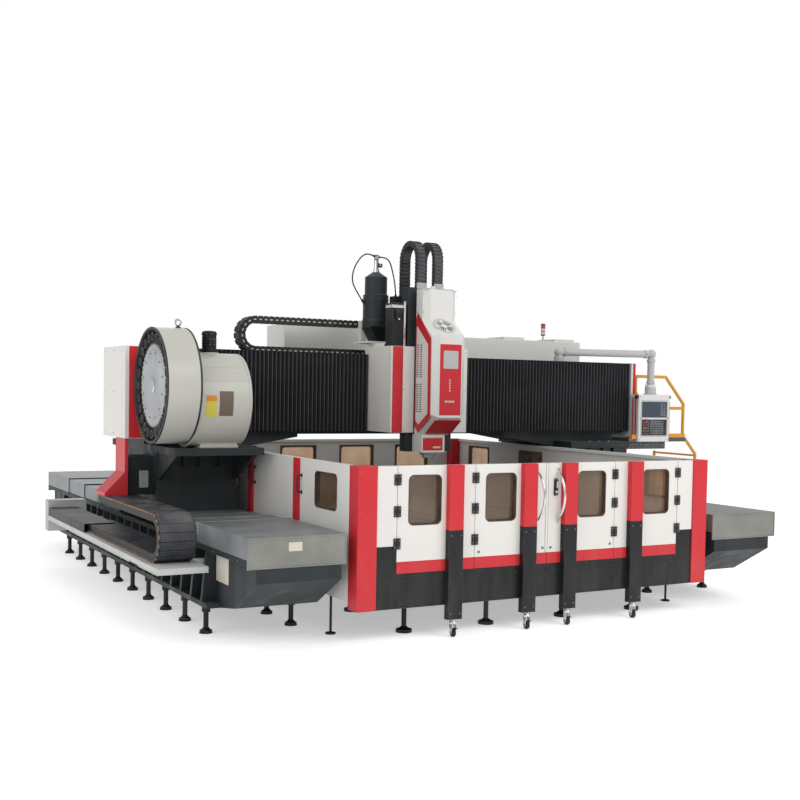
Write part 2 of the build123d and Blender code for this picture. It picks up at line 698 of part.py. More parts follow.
def column():
    """Right column and carriage: a flanged casting on the guides with a gusset to the crossbeam."""
    floor = GUIDE_TOP + SEAT_GAP
    y0, y1 = CARRIAGE_FRONT, CARRIAGE_BACK
    body = block(CARRIAGE_IN, CARRIAGE_OUT, y0, y1, floor, floor + CARRIAGE_FOOT_H)
    body += block(CARRIAGE_IN + CARRIAGE_WAIST, CARRIAGE_OUT - CARRIAGE_WAIST, y0 + CARRIAGE_WAIST,
                  y1 - CARRIAGE_WAIST, floor, CARRIAGE_TOP)
    body += block(CARRIAGE_IN, CARRIAGE_OUT, y0, y1, CARRIAGE_TOP - CARRIAGE_FLANGE, CARRIAGE_TOP)
    for x in POCKET_CENTRES:
        body -= block(x - POCKET_W / 2, x + POCKET_W / 2, y0 - OVER, y0 + POCKET_DEEP, *POCKET_Z)
    body += front_shape(
        [(GUSSET_END, BEAM_BOTTOM), (CARRIAGE_OUT, BEAM_BOTTOM), (CARRIAGE_OUT, CARRIAGE_TOP),
         (CARRIAGE_IN, CARRIAGE_TOP - CARRIAGE_FLANGE), (GUSSET_END, BEAM_BOTTOM - GUSSET_LIP)],
        BEAM_FRONT, BEAM_BACK)
    return body


def left_column():
    """The mirrored column with the shelf for the tool magazine and the arm for the chain boot."""
    body = mirror(column(), about=Plane.YZ)
    low = CARRIAGE_TOP - CARRIAGE_FLANGE
    back = CARRIAGE_FRONT + CARRIAGE_WAIST
    body += block(-CARRIAGE_OUT, -CARRIAGE_IN, SHELF_FRONT, CARRIAGE_FRONT, low, CARRIAGE_TOP)
    for x in (-CARRIAGE_OUT + SHELF_ARM_W, -CARRIAGE_IN - 2 * SHELF_ARM_W):
        body += side_shape([(SHELF_FRONT + SHELF_ARM_W, low), (back, low), (back, SHELF_ARM_LOW)],
                           x, x + SHELF_ARM_W)
    body += block(-BOOT_IN, -CARRIAGE_OUT + CARRIAGE_WAIST, END_FRONT + SHELF_ARM_W, BOOT_BACK - SHELF_ARM_W,
                  BOOT_LOW, BOOT_ARM_TOP)
    return body


def crossbeam():
    beam = block(BEAM_LEFT, BEAM_RIGHT, BEAM_FRONT, BEAM_BACK, BEAM_BOTTOM, BEAM_TOP)
    for z in BEAM_RAIL_Z:
        beam += block(BEAM_LEFT, BEAM_RIGHT, BEAM_FRONT - BEAM_RAIL_T, BEAM_FRONT,
                      z - BEAM_RAIL_H / 2, z + BEAM_RAIL_H / 2)
    return beam


def chain_boot():
    """Cover from the left beam end down to the end of the bed's cable chain."""
    return front_shape(
        [(-BEAM_HALF, END_LOW), (-BEAM_HALF, BOOT_BEND), (-BOOT_TOE, BOOT_LOW + BOOT_LIP),
         (-BOOT_TOE, BOOT_LOW), (-BOOT_IN, BOOT_LOW), (-BOOT_IN, END_LOW)],
        END_FRONT, BOOT_BACK)


def rear_cabinet():
    body = block(CABINET_LEFT, CABINET_RIGHT, CABINET_FRONT, CABINET_BACK, CABINET_LOW, CABINET_TOP)
    body += block(CABINET_LEFT, CABINET_STEP, CABINET_FRONT, CABINET_BACK,
                  CABINET_TOP, CABINET_TOP + CABINET_RISE)
    inset = CABINET_MOUNT_INSET
    body += block(CABINET_LEFT + inset, CABINET_RIGHT - inset, BEAM_BACK, CABINET_FRONT,
                  CABINET_LOW + inset, BEAM_TOP - inset)
    for x in LIDS:
        body += block(x, x + LID_W, CABINET_FRONT + LID_INSET, CABINET_BACK - LID_INSET,
                      CABINET_TOP, CABINET_TOP + LID_H)
    return body


def signal_lamp():
    y = (CABINET_FRONT + CABINET_BACK) / 2
    foot = CABINET_TOP + LAMP_FOOT_H
    pole = foot + LAMP_POLE_H
    lamp = disc_z(LAMP_X, y, CABINET_TOP, foot, LAMP_R * 1.3)
    lamp += disc_z(LAMP_X, y, foot, pole, LAMP_POLE_R)
    lamp += disc_z(LAMP_X, y, pole, pole + LAMP_TOWER_H, LAMP_R)
    return lamp


# Tool magazine

def magazine_drum():
    """Drum shell open to the left, with its housing, foot, motor flange and lifting eye."""
    right = MAG_LEFT + MAG_DEPTH
    drum = disc_x(MAG_LEFT, right, MAG_Y, MAG_Z, MAG_R)
    drum -= disc_x(MAG_LEFT - OVER, MAG_LEFT + MAG_FACE, MAG_Y, MAG_Z, MAG_R - MAG_WALL)
    drum += disc_x(right - OVER, HOUSING_RIGHT, MAG_Y, HOUSING_Z, HOUSING_R)
    drum += block(*MAG_FOOT_X, MAG_Y - MAG_FOOT_HALF, MAG_Y + MAG_FOOT_HALF, CARRIAGE_TOP, MAG_FOOT_TOP)
    crown = HOUSING_Z + HOUSING_R
    drum += disc_z(MAG_MOTOR_X, MAG_Y, crown - MAG_MOTOR_FLANGE_R, crown + OVER, MAG_MOTOR_FLANGE_R)
    eye_z = MAG_Z + MAG_R + EYE_R * 2
    drum += disc_z(EYE_X, MAG_Y, MAG_Z + MAG_R - EYE_R, eye_z - EYE_R, EYE_WIRE_R)
    drum += Pos(EYE_X, MAG_Y, eye_z) * ALONG_Y * Torus(EYE_R, EYE_WIRE_R)
    return drum


def magazine_motor():
    low = HOUSING_Z + HOUSING_R + OVER
    body = disc_z(MAG_MOTOR_X, MAG_Y, low, low + MAG_MOTOR_H, MAG_MOTOR_R)
    return fillet(body.edges().group_by(Axis.Z)[-1], MAG_MOTOR_ROUND)


def tool_disc():
    """Ring of tool pockets that turns inside the drum's open face."""
    back = MAG_LEFT + MAG_FACE - SEAT_GAP
    disc = disc_x(back - DISC_T, back, MAG_Y, MAG_Z, DISC_R)
    disc += disc_x(back - HUB_PROUD, back, MAG_Y, MAG_Z, HUB_R)
    for i in range(POCKETS):
        angle = math.radians(i * 360 / POCKETS)
        y = MAG_Y + POCKET_RING * math.cos(angle)
        z = MAG_Z + POCKET_RING * math.sin(angle)
        disc += disc_x(back - POCKET_PROUD, back, y, z, POCKET_R)
    return disc


# Pendant

def pendant_arm():
    low = BEAM_TOP + SEAT_GAP
    end = (ARM_END_X, ARM_END_Y, ARM_Z)
    top = (PIVOT_X, PIVOT_Y, ARM_Z)
    arm = disc_z(PIVOT_X, PIVOT_Y, low, low + PIVOT_H, PIVOT_R)
    arm += disc_z(PIVOT_X, PIVOT_Y, low, ARM_Z, ARM_R)
    arm += Pos(*top) * Sphere(ELBOW_R)
    arm += rod(top, end, ARM_R)
    arm += Pos(*end) * Sphere(ELBOW_R)
    arm += disc_z(ARM_END_X, ARM_END_Y, COUPLING_TOP, ARM_Z, ARM_R)
    return arm


def pendant_box():
    body = block(ARM_END_X - PENDANT_W / 2, ARM_END_X + PENDANT_W / 2, ARM_END_Y - PENDANT_D / 2,
                 ARM_END_Y + PENDANT_D / 2, PENDANT_LOW, PENDANT_TOP)
    body = fillet(body.edges().filter_by(Axis.Z), PENDANT_ROUND)
    return body + disc_z(ARM_END_X, ARM_END_Y, PENDANT_TOP, COUPLING_TOP - SEAT_GAP, COUPLING_R)


# Platform

def platform_deck():
    return block(PLATFORM_LEFT, PLATFORM_RIGHT, PLATFORM_FRONT, PLATFORM_BACK,
                 PLATFORM_Z - PLATFORM_T, PLATFORM_Z)


def access_platform():
    low = PLATFORM_Z - PLATFORM_T
    bearers = [
        block(CARRIAGE_OUT, BEARER_RIGHT, y, y + BEARER_W, low - BEARER_H, low)
        for y in PLATFORM_BEARERS
    ]
    return platform_deck() + bearers


def tube_run(points):
    """Tubes along a list of points, with a ball at each corner."""
    run = rod(points[0], points[1], TUBE_R)
    for start, end in zip(points[1:], points[2:]):
        run += Pos(*start) * Sphere(TUBE_R)
        run += rod(start, end, TUBE_R)
    return run


def guard_rail(y):
    """Guard rail in one upright plane, with its sloping corner."""
    rail = tube_run([
        (RAIL_POST_LEFT, y, PLATFORM_Z), (RAIL_POST_LEFT, y, RAIL_HIGH), (RAIL_CORNER_X, y, RAIL_HIGH),
        (RAIL_POST_RIGHT, y, RAIL_CORNER_Z), (RAIL_POST_RIGHT, y, PLATFORM_Z)])
    return rail + rod((RAIL_POST_LEFT, y, RAIL_MID), (RAIL_POST_RIGHT, y, RAIL_MID), TUBE_R)


def platform_rails():
    front, back = PLATFORM_FRONT + TUBE_R, PLATFORM_BACK - TUBE_R
    node("front_guard_rail", guard_rail(front))
    node("rear_guard_rail", guard_rail(back))
    x, z = LADDER_TOP
    ladder = None
    for y in (front, back):
        side = tube_run([(PLATFORM_RIGHT - TUBE_R, y, z), (x, y, z), (LADDER_X, y, LADDER_BEND),
                         (LADDER_X, y, LADDER_LOW)])
        ladder = side if ladder is None else ladder + side
    height = RUNG_FIRST
    while height < LADDER_BEND:
        ladder += rod((LADDER_X, front, height), (LADDER_X, back, height), RUNG_R)
        height += RUNG_STEP
    node("ladder", ladder - platform_deck())


# Saddle

def saddle():
    """Body with the ram's slot, pads for the crossbeam's rails, and the deck on its top."""
    slot_l, slot_r = RAM_X - SLOT_HALF, RAM_X + SLOT_HALF
    mouth = HEAD_HALF + PART_GAP
    low, high = SADDLE_LOW - OVER, SADDLE_TOP + OVER
    body = block(SADDLE_LEFT, SADDLE_RIGHT, SADDLE_FRONT, BELLOWS_BACK, SADDLE_LOW, SADDLE_TOP)
    body -= block(slot_l, slot_r, SADDLE_FRONT + LIP_T, SADDLE_FRONT + SLOT_DEPTH, low, high)
    body -= block(RAM_X - mouth, RAM_X + mouth, SADDLE_FRONT - OVER, SADDLE_FRONT + LIP_T + OVER, low, high)
    pad_l, pad_r = SADDLE_LEFT + SADDLE_PAD_INSET, SADDLE_RIGHT - SADDLE_PAD_INSET
    for z in BEAM_RAIL_Z:
        body += block(pad_l, pad_r, BELLOWS_BACK, BEAM_FRONT - BEAM_RAIL_T - SEAT_GAP,
                      z - BEAM_RAIL_H / 2, z + BEAM_RAIL_H / 2)
    body += block(SADDLE_LEFT + DECK_SIDE, SADDLE_RIGHT - DECK_SIDE, DECK_FRONT, BELLOWS_BACK,
                  SADDLE_TOP, DECK_Z)
    body += block(*DECK_PLATE_X, DECK_PLATE_FRONT, DECK_PLATE_BACK, DECK_Z, DECK_Z + DECK_TOP_T)
    chain_top = BEAM_TOP + BEAM_CHAIN_H
    body += block(*CHAIN_POST_X, CHAIN_POST_FRONT, DECK_PLATE_BACK, DECK_Z, chain_top)
    body += block(*CHAIN_POST_X, DECK_PLATE_BACK, BEAM_CHAIN_BACK, chain_top - CHAIN_T, chain_top)
    return body


def gland(end, before, length):
    """Hose fitting that carries on from the hose's end point."""
    way = (Vector(*end) - Vector(*before)).normalized()
    return rod(end, tuple(Vector(*end) + way * length), GLAND_R)


def z_drive():
    """Motor of the vertical axis with its cap."""
    body = block(*DRIVE_X, *DRIVE_Y, SADDLE_TOP, DRIVE_TOP)
    rim = DRIVE_CAP_RIM
    return body + block(DRIVE_X[0] - rim, DRIVE_X[1] + rim, DRIVE_Y[0] - rim, DRIVE_Y[1] + rim,
                        DRIVE_TOP, DRIVE_TOP + DRIVE_CAP_H)


def chain_mast():
    """Mast behind the ram that takes the fixed ends of its chains, and the bottle's cradle."""
    mast = block(*MAST_X, MAST_FRONT, ANCHOR_Y[1], DECK_Z, ANCHOR_LOW)
    mast += block(*ANCHOR_X, *ANCHOR_Y, ANCHOR_LOW, ANCHOR_TOP)
    mast += gland(SHORT_HOSE[-1], SHORT_HOSE[-2], GLAND_R * 3)
    low = DECK_Z + DECK_TOP_T
    cradle = Pos(BOTTLE_X, BOTTLE_Y, (low + BOTTLE_LOW) / 2) * Cone(
        CRADLE_FOOT_R, BOTTLE_R + CRADLE_RIM, BOTTLE_LOW - low)
    return [mast, cradle]


def gas_bottle():
    """Stepped bottle with its valve and the fittings for the hoses."""
    x, y = BOTTLE_X, BOTTLE_Y
    bottle = disc_z(x, y, BOTTLE_LOW, BOTTLE_MID, BOTTLE_R)
    bottle += disc_z(x, y, BOTTLE_MID, BOTTLE_SHOULDER, BOTTLE_UPPER_R)
    bottle += Pos(x, y, (BOTTLE_SHOULDER + BOTTLE_NECK) / 2) * Cone(
        BOTTLE_UPPER_R, BOTTLE_NECK_R, BOTTLE_NECK - BOTTLE_SHOULDER)
    bottle += disc_z(x, y, BOTTLE_NECK, VALVE_TOP - VALVE_HEAD_H, VALVE_STEM_R)
    bottle += disc_z(x, y, VALVE_TOP - VALVE_HEAD_H, VALVE_TOP, VALVE_HEAD_R)
    knob = [x + offset for offset in VALVE_KNOB_X]
    bottle += disc_x(x, knob[0], y, VALVE_TAP_Z, GLAND_R)
    bottle += disc_x(*knob, y, VALVE_TAP_Z, VALVE_KNOB_R)
    bottle += gland(LONG_HOSE[0], LONG_HOSE[1], GLAND_R * 2)
    bottle += gland(SHORT_HOSE[0], SHORT_HOSE[1], GLAND_R * 2)
    bottle += gland(LONG_HOSE[-1], LONG_HOSE[-2], GLAND_R * 5)
    return bottle


def hose(points, name):
    """Tube along a route: straight runs joined by arcs as large as the runs allow."""
    spots = [Vector(*point) for point in points]
    radii = []
    for before, here, after in zip(spots, spots[1:], spots[2:]):
        turn = (here - before).get_angle(after - here)
        run = min((here - before).length, (after - here).length)
        radii.append(ARC_SHARE * run / math.tan(math.radians(turn) / 2))
    route = FilletPolyline(*points, radius=radii)
    print(name, "length", round(route.length), "radii", [round(r) for r in radii])
    return sweep(Plane(origin=route @ 0, z_dir=route % 0) * Circle(HOSE_R), path=route)


# Ram

def ram_slide():
    side = SLOT_HALF - SEAT_GAP
    slide = block(RAM_X - side, RAM_X + side, SLIDE_FRONT, SLIDE_BACK, RAM_LOW, RAM_TOP)
    return slide + block(HEAD_LEFT, HEAD_RIGHT, HEAD_BACK, SLIDE_FRONT, HEAD_CHIN, NECK_TOP)


def head_cover():
    """Sheet metal cover of the head: set back at the top, with a sloping chin."""
    profile = [
        (HEAD_BACK, HEAD_CHIN), (HEAD_BACK, HEAD_TOP), (HEAD_UPPER_FRONT, HEAD_TOP),
        (HEAD_UPPER_FRONT, HEAD_SLANT_TOP), (HEAD_FRONT, HEAD_SLANT_LOW), (HEAD_FRONT, HEAD_LOW),
        (HEAD_CHIN_FRONT, HEAD_CHIN),
    ]
    body = side_shape(profile, HEAD_LEFT, HEAD_RIGHT)
    sides = body.edges().filter_by(lambda e: abs(e.tangent_at(0.5).X) < 0.5)
    front = sides.filter_by(lambda e: e.center().Y < HEAD_BACK - OVER)
    return chamfer(front.filter_by(lambda e: abs(e.tangent_at(0.5).Z) > 0.3), HEAD_CHAMFER)


def ram_chain(x):
    """One cable chain: from the mast up, over and down to the ram."""
    outer = (RAM_CHAIN_BACK - RAM_CHAIN_FRONT) / 2
    mid = RAM_CHAIN_FRONT + outer
    spring = RAM_CHAIN_TOP - outer
    x0, x1 = x - RAM_CHAIN_W / 2, x + RAM_CHAIN_W / 2
    arch = disc_x(x0, x1, mid, spring, outer)
    arch -= disc_x(x0 - OVER, x1 + OVER, mid, spring, outer - RAM_CHAIN_T)
    arch -= block(x0 - OVER, x1 + OVER, mid - outer - OVER, mid + outer + OVER, spring - outer - OVER, spring)
    arch += block(x0, x1, RAM_CHAIN_FRONT, RAM_CHAIN_FRONT + RAM_CHAIN_T, RAM_TOP, spring)
    arch += block(x0, x1, RAM_CHAIN_BACK - RAM_CHAIN_T, RAM_CHAIN_BACK, ANCHOR_TOP, spring)
    return arch


def spindle_nose():
    top = RAM_LOW - SEAT_GAP
    flange = top - SPINDLE_FLANGE_T
    x, y = SPINDLE_X, SPINDLE_Y
    nose = disc_z(x, y, flange, top, SPINDLE_R)
    nose += disc_z(x, y, SPINDLE_END, flange, SPINDLE_NOSE_R)
    return nose - disc_z(x, y, SPINDLE_END - OVER, SPINDLE_END + SPINDLE_BORE_DEEP, SPINDLE_BORE_R)


# Cable chains along the bed and the beam

def bed_chain():
    """Chain on the tray: forward on the tray, round the bend, back to the boot."""
    radius = (BOOT_LOW - TRAY_TOP) / 2
    y, z = BED_CHAIN_BEND + radius, TRAY_TOP + radius
    x0, x1 = -BED_CHAIN_OUT, -BED_CHAIN_IN
    chain = disc_x(x0, x1, y, z, radius)
    chain -= disc_x(x0 - OVER, x1 + OVER, y, z, radius - CHAIN_T)
    chain -= block(x0 - OVER, x1 + OVER, y, y + radius + OVER, TRAY_TOP - OVER, BOOT_LOW + OVER)
    chain += block(x0, x1, y, BED_CHAIN_FIXED, TRAY_TOP, TRAY_TOP + CHAIN_T)
    chain += block(x0, x1, y, BED_CHAIN_END, BOOT_LOW - CHAIN_T, BOOT_LOW)
    return chain


def beam_chain():
    """Chain on the crossbeam: left along its top, round the bend, back to the saddle's post."""
    radius = BEAM_CHAIN_H / 2
    x, z = BEAM_CHAIN_BEND + radius, BEAM_TOP + radius
    y0, y1 = BEAM_CHAIN_FRONT, BEAM_CHAIN_BACK
    middle = Pos(x, (y0 + y1) / 2, z) * ALONG_Y
    chain = middle * Cylinder(radius, y1 - y0)
    chain -= middle * Cylinder(radius - CHAIN_T, y1 - y0 + 2 * OVER)
    top = BEAM_TOP + BEAM_CHAIN_H
    chain -= block(x, x + radius + OVER, y0 - OVER, y1 + OVER, BEAM_TOP - OVER, top + OVER)
    chain += block(x, BEAM_CHAIN_FIXED, y0, y1, BEAM_TOP, BEAM_TOP + CHAIN_T)
    chain += block(x, CHAIN_POST_X[0], y0, y1, top - CHAIN_T, top)
    return chain


# Base
node("right_bed", bed())
node("left_bed", mirror(pieces["right_bed"].solids()[0], about=Plane.YZ))
node("machine_feet", machine_feet())
way_covers()
node("table_base", block(-TABLE_BASE_HALF, TABLE_BASE_HALF, TABLE_BASE_FRONT, TABLE_BASE_BACK,
                         APRON_BOTTOM, TABLE_TOP - TABLE_T))
node("worktable", block(-TABLE_HALF, TABLE_HALF, TABLE_FRONT, TABLE_BACK, TABLE_TOP - TABLE_T, TABLE_TOP))
node("chip_pans", both_sides(block(TABLE_BASE_HALF, ENC_HALF - PANEL_T, TABLE_BASE_FRONT, CHIP_PAN_BACK,
                                  *CHIP_PAN_Z)))
enclosure_front()
node("side_walls", both_sides(side_wall()))
node("back_wall", back_wall())
node("windows", windows())
node("wall_trims", wall_trims())
node("cable_tray", cable_tray())

# Gantry
node("left_column", left_column())
node("right_column", column())
node("crossbeam", crossbeam())
node("beam_end_covers",
     block(-BEAM_HALF, BEAM_LEFT, END_FRONT, BEAM_BACK, END_LOW, END_TOP),
     block(BEAM_RIGHT, BEAM_HALF, END_FRONT, BEAM_BACK, END_LOW, END_TOP))
node("chain_boot", chain_boot())
node("rear_cabinet", rear_cabinet())
node("signal_lamp", signal_lamp())
node("magazine_drum", magazine_drum())
node("magazine_motor", magazine_motor())
node("tool_disc", tool_disc())
node("access_platform", access_platform())
platform_rails()
node("left_bellows", block(BEAM_LEFT, SADDLE_LEFT, BELLOWS_FRONT, BELLOWS_BACK, BELLOWS_LOW, BELLOWS_HIGH))
node("right_bellows", block(SADDLE_RIGHT, BEAM_RIGHT, BELLOWS_FRONT, BELLOWS_BACK, BELLOWS_LOW, BELLOWS_HIGH))
node("bed_chain", bed_chain())
node("beam_chain", beam_chain())
node("pendant_arm", pendant_arm())
node("pendant_box", pendant_box())

# Saddle and ram
node("saddle", saddle())
node("z_drive", z_drive())
node("chain_mast", chain_mast())
node("gas_bottle", gas_bottle())
node("long_hose", hose(LONG_HOSE, "long hose"))
node("short_hose", hose(SHORT_HOSE, "short hose"))
node("ram_chains", [ram_chain(x) for x in RAM_CHAIN_X])
node("ram_slide", ram_slide())
node("head_cover", head_cover())
node("spindle_box", block(HEAD_LEFT, HEAD_LEFT + BOX_W, BOX_FRONT, SLIDE_FRONT, RAM_LOW, HEAD_CHIN))
node("spindle_nose", spindle_nose())

# Origin on the floor under the middle of the footprint
whole = Compound([solid for piece in pieces.values() for solid in piece.solids()]).bounding_box()
shift = Pos(-(whole.min.X + whole.max.X) / 2, -(whole.min.Y + whole.max.Y) / 2, -whole.min.Z)
print("shift", shift.position)
for name, piece in pieces.items():
    moved = shift * piece
    print(name, len(moved.solids()), "solids", round(moved.volume / 1e6, 1), "litres", moved.is_valid)
    export_step(moved, f"parts/{name}.step")
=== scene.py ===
import math

import bmesh
import bpy
from mathutils import Matrix, Vector


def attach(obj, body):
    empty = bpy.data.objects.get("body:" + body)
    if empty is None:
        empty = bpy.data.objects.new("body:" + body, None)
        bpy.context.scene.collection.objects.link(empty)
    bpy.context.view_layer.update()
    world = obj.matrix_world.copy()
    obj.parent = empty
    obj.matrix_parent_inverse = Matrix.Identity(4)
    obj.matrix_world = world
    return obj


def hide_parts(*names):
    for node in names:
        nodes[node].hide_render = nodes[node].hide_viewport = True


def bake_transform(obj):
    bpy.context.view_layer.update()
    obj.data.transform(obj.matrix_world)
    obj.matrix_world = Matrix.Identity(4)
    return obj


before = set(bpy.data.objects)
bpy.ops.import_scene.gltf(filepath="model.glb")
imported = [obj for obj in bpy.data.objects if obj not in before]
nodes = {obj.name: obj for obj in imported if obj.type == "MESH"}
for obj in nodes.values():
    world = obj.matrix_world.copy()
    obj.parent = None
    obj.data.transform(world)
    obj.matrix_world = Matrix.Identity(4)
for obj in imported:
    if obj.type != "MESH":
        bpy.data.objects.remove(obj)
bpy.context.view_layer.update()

# The drawing's axes are in millimetres: x from the middle of the table, y from the doors, z from the floor
MIDDLE_X = -0.462
DOORS_Y = -3.5145
TO_FRAME = Matrix.Translation((MIDDLE_X, DOORS_Y, 0)) @ Matrix.Scale(0.001, 4)
MIRROR = Matrix.Scale(-1, 4, (1, 0, 0))
PAIR = (Matrix(), MIRROR)
TURN_TO = {
    "X": Matrix.Rotation(math.pi / 2, 4, "Y"),
    "Y": Matrix.Rotation(-math.pi / 2, 4, "X"),
    "Z": Matrix(),
}

# Sizes taken over from the part's source
ENC_HALF = 1878.0
ENC_TOP = 1450.0
ENC_DEPTH = 4600.0
APRON_BOTTOM = 272.0
PANEL_T = 40.0
DOOR_HALF = 1512.0
LEAF_W = 756.0
WIN_OFFSET = 493.0
WIN_W = 312.0
WIN_Z = (957.0, 1370.0)
WIN_R = 45.0
POST_OFFSET = 219.0
POST_D = 62.0
POST_BOTTOM = 152.0
SIDE_WINDOWS = (600.0, 2860.0, 3980.0)
BACK_WINDOWS = (-1180.0, -395.0, 395.0, 1180.0)
SIDE_WIN_W = 440.0
SIDE_WIN_Z = (1050.0, 1360.0)
BED_IN = 1970.0
BED_OUT = 2815.0
BED_LEN = 7145.0
COVER_TOP = 917.0
COVER_SKIRT = 746.0
COVER_LEN = 1150.0
COVER_STEP = 12.0
CARRIAGE_FRONT = 2280.0
CARRIAGE_BACK = 3780.0
CARRIAGE_TOP = 1512.0
BEAM_HALF = 3080.0
BEAM_LEFT = -2905.0
BEAM_RIGHT = 3020.0
BEAM_FRONT = 2620.0
BEAM_BACK = 3280.0
BEAM_TOP = 2420.0
END_FRONT = 2480.0
END_Z = (1568.0, 2440.0)
BELLOWS_Y = (2490.0, 2574.0)
BELLOWS_Z = (1628.0, 2438.0)
SADDLE_X = (-510.0, 390.0)
SADDLE_FRONT = 2000.0
SADDLE_Z = (1636.0, 2516.0)
HEAD_X = (-240.0, 140.0)
HEAD_FRONT = 1600.0
CABINET_X = (-1130.0, 2870.0)
CABINET_Y = (3300.0, 3800.0)
CABINET_Z = (1640.0, 2700.0)
MAG_Y = 1940.0
MAG_Z = 2070.0
MAG_X = (-3002.0, -2692.0)
MAG_R = 525.0
HOUSING_R = 430.0
HOUSING_Z = 1946.0
HOUSING_RIGHT = -2190.0
BOTTLE = (-390.0, 2600.0)
VALVE_TOP = 3490.0
PENDANT = (3190.0, 2330.0)
ARM_START = (2072.0, 2660.0)
ARM_Z = 2550.0
SPINDLE = (-105.0, 1930.0, 1384.0)
RAM_CHAINS_X = (-160.0, 42.0)

# Sizes of the visible detail
TRIM_TOP = ENC_TOP - 4
WHITE_FROM = 664.0
SEAM_Z = (496.0, 504.0)
BAND_Z = (563.0, 657.0)
LOCK_Z = 700.0
WHEEL_R = 38.0
PLATE_Z = (672.0, 917.0)
FOLD_PITCH = 44.0
FOLD_Y = (2494.0, 2541.0)
HEM = 14.0
MOTOR_X = -2455.0
EYE_X = -2750.0
HOSE_D = 0.014


def at(x, y, z):
    """A point of the drawing in the row frame."""
    return TO_FRAME @ Vector((x, y, z))


def placed(name, data):
    """Puts a new object with this data into the scene."""
    made = bpy.data.objects.new(name, data)
    bpy.context.scene.collection.objects.link(made)
    return made


# Camera: where the photograph was taken from

EYE = (-6.4215, -11.6195, 2.067)
LENS = 51.03
SHIFT = (-0.0124, 0.0455)
YAW, PITCH, ROLL = (math.radians(a) for a in (29.331, 2.318, -1.044))


def set_camera():
    """Camera at EYE, turned by its yaw, pitch and roll."""
    forward = Vector((math.sin(YAW) * math.cos(PITCH), math.cos(YAW) * math.cos(PITCH), -math.sin(PITCH)))
    level_right = Vector((math.cos(YAW), -math.sin(YAW), 0))
    level_up = level_right.cross(forward)
    right = math.cos(ROLL) * level_right - math.sin(ROLL) * level_up
    up = math.sin(ROLL) * level_right + math.cos(ROLL) * level_up
    data = bpy.data.cameras.new("camera")
    data.sensor_width = 36
    data.lens = LENS
    data.shift_x, data.shift_y = SHIFT
    data.clip_end = 200
    camera = placed("camera", data)
    turn = Matrix((right, up, -forward)).transposed().to_4x4()
    camera.matrix_world = Matrix.Translation(EYE) @ turn
    bpy.context.scene.camera = camera


set_camera()


# Shader maths

class Level:
    """A number that varies over a surface. Maths on it adds Math nodes."""

    def __init__(self, finish, socket):
        self.finish = finish
        self.socket = socket

    def maths(self, operation, first, second):
        return self.finish.level("ShaderNodeMath", {"operation": operation}, {0: first, 1: second})

    def __add__(self, other):
        return self.maths("ADD", self, other)

    def __sub__(self, other):
        return self.maths("SUBTRACT", self, other)

    def __rsub__(self, other):
        return self.maths("SUBTRACT", other, self)

    def __mul__(self, other):
        return self.maths("MULTIPLY", self, other)

    def __gt__(self, other):
        return self.maths("GREATER_THAN", self, other)

    def between(self, low, high):
        """0 below low, 1 above high and even in between."""
        values = {"Value": self, "From Min": low, "From Max": high}
        return self.finish.level("ShaderNodeMapRange", {"clamp": True}, values)


class Finish:
    """A node material, built from its colour, wear and surface."""

    def __init__(self, name):
        self.material = bpy.data.materials.new(name)
        self.material.use_nodes = True
        self.tree = self.material.node_tree
        self.tree.nodes.clear()
        self.shader = self.node("ShaderNodeBsdfPrincipled")
        output = self.node("ShaderNodeOutputMaterial")
        self.tree.links.new(self.shader.outputs[0], output.inputs[0])
        self.place = self.node("ShaderNodeTexCoord").outputs["Object"]
        self.facing = self.node("ShaderNodeNewGeometry").outputs["Normal"]

    def node(self, kind, settings=None, inputs=None):
        made = self.tree.nodes.new(kind)
        for key, value in (settings or {}).items():
            setattr(made, key, value)
        for key, value in (inputs or {}).items():
            self.feed(made.inputs[key], value)
        return made

    def feed(self, socket, value):
        value = getattr(value, "socket", value)
        if isinstance(value, bpy.types.NodeSocket):
            self.tree.links.new(value, socket)
        else:
            socket.default_value = value

    def level(self, kind, settings=None, inputs=None, output=0):
        return Level(self, self.node(kind, settings, inputs).outputs[output])

    def noise(self, scale, detail, stretch=None, rough=0.55):
        """Cloudy pattern; scale is in spots a metre, stretch makes it streaky."""
        place = self.place
        if stretch:
            place = self.node("ShaderNodeMapping", None, {"Vector": place, "Scale": stretch}).outputs[0]
        values = {"Vector": place, "Scale": scale, "Detail": detail, "Roughness": rough}
        return self.level("ShaderNodeTexNoise", None, values)

    def axis(self, index, source=None):
        return self.level("ShaderNodeSeparateXYZ", None, {0: source or self.place}, index)

    def mix(self, share, low, high):
        """Colour between low and high."""
        made = self.node("ShaderNodeMix", {"data_type": "RGBA"}, {0: share, 6: low, 7: high})
        return made.outputs[2]

    def edges(self, radius):
        """Strongest at the piece's outer corners, nothing on its flats."""
        rounded = self.node("ShaderNodeBevel", {"samples": 4}, {"Radius": radius}).outputs[0]
        dot = self.level("ShaderNodeVectorMath", {"operation": "DOT_PRODUCT"},
                         {0: rounded, 1: self.facing}, "Value")
        return (1 - dot).between(0.02, 0.25)

    def bump(self, height, distance, strength):
        made = self.node("ShaderNodeBump", None,
                         {"Height": height, "Distance": distance, "Strength": strength})
        self.feed(self.shader.inputs["Normal"], made.outputs[0])

    def set(self, **values):
        for key, value in values.items():
            self.feed(self.shader.inputs[key.replace("_", " ")], value)
        return self.material


def colour(text):
    """Linear colour from a six-digit hex code."""
    parts = [int(text[i:i + 2], 16) / 255 for i in (0, 2, 4)]
    return [p / 12.92 if p <= 0.04045 else ((p + 0.055) / 1.055) ** 2.4 for p in parts] + [1.0]


def shade(base, factor):
    """A colour made darker, or lighter above a factor of 1."""
    return [min(1.0, c * factor) for c in base[:3]] + [1.0]


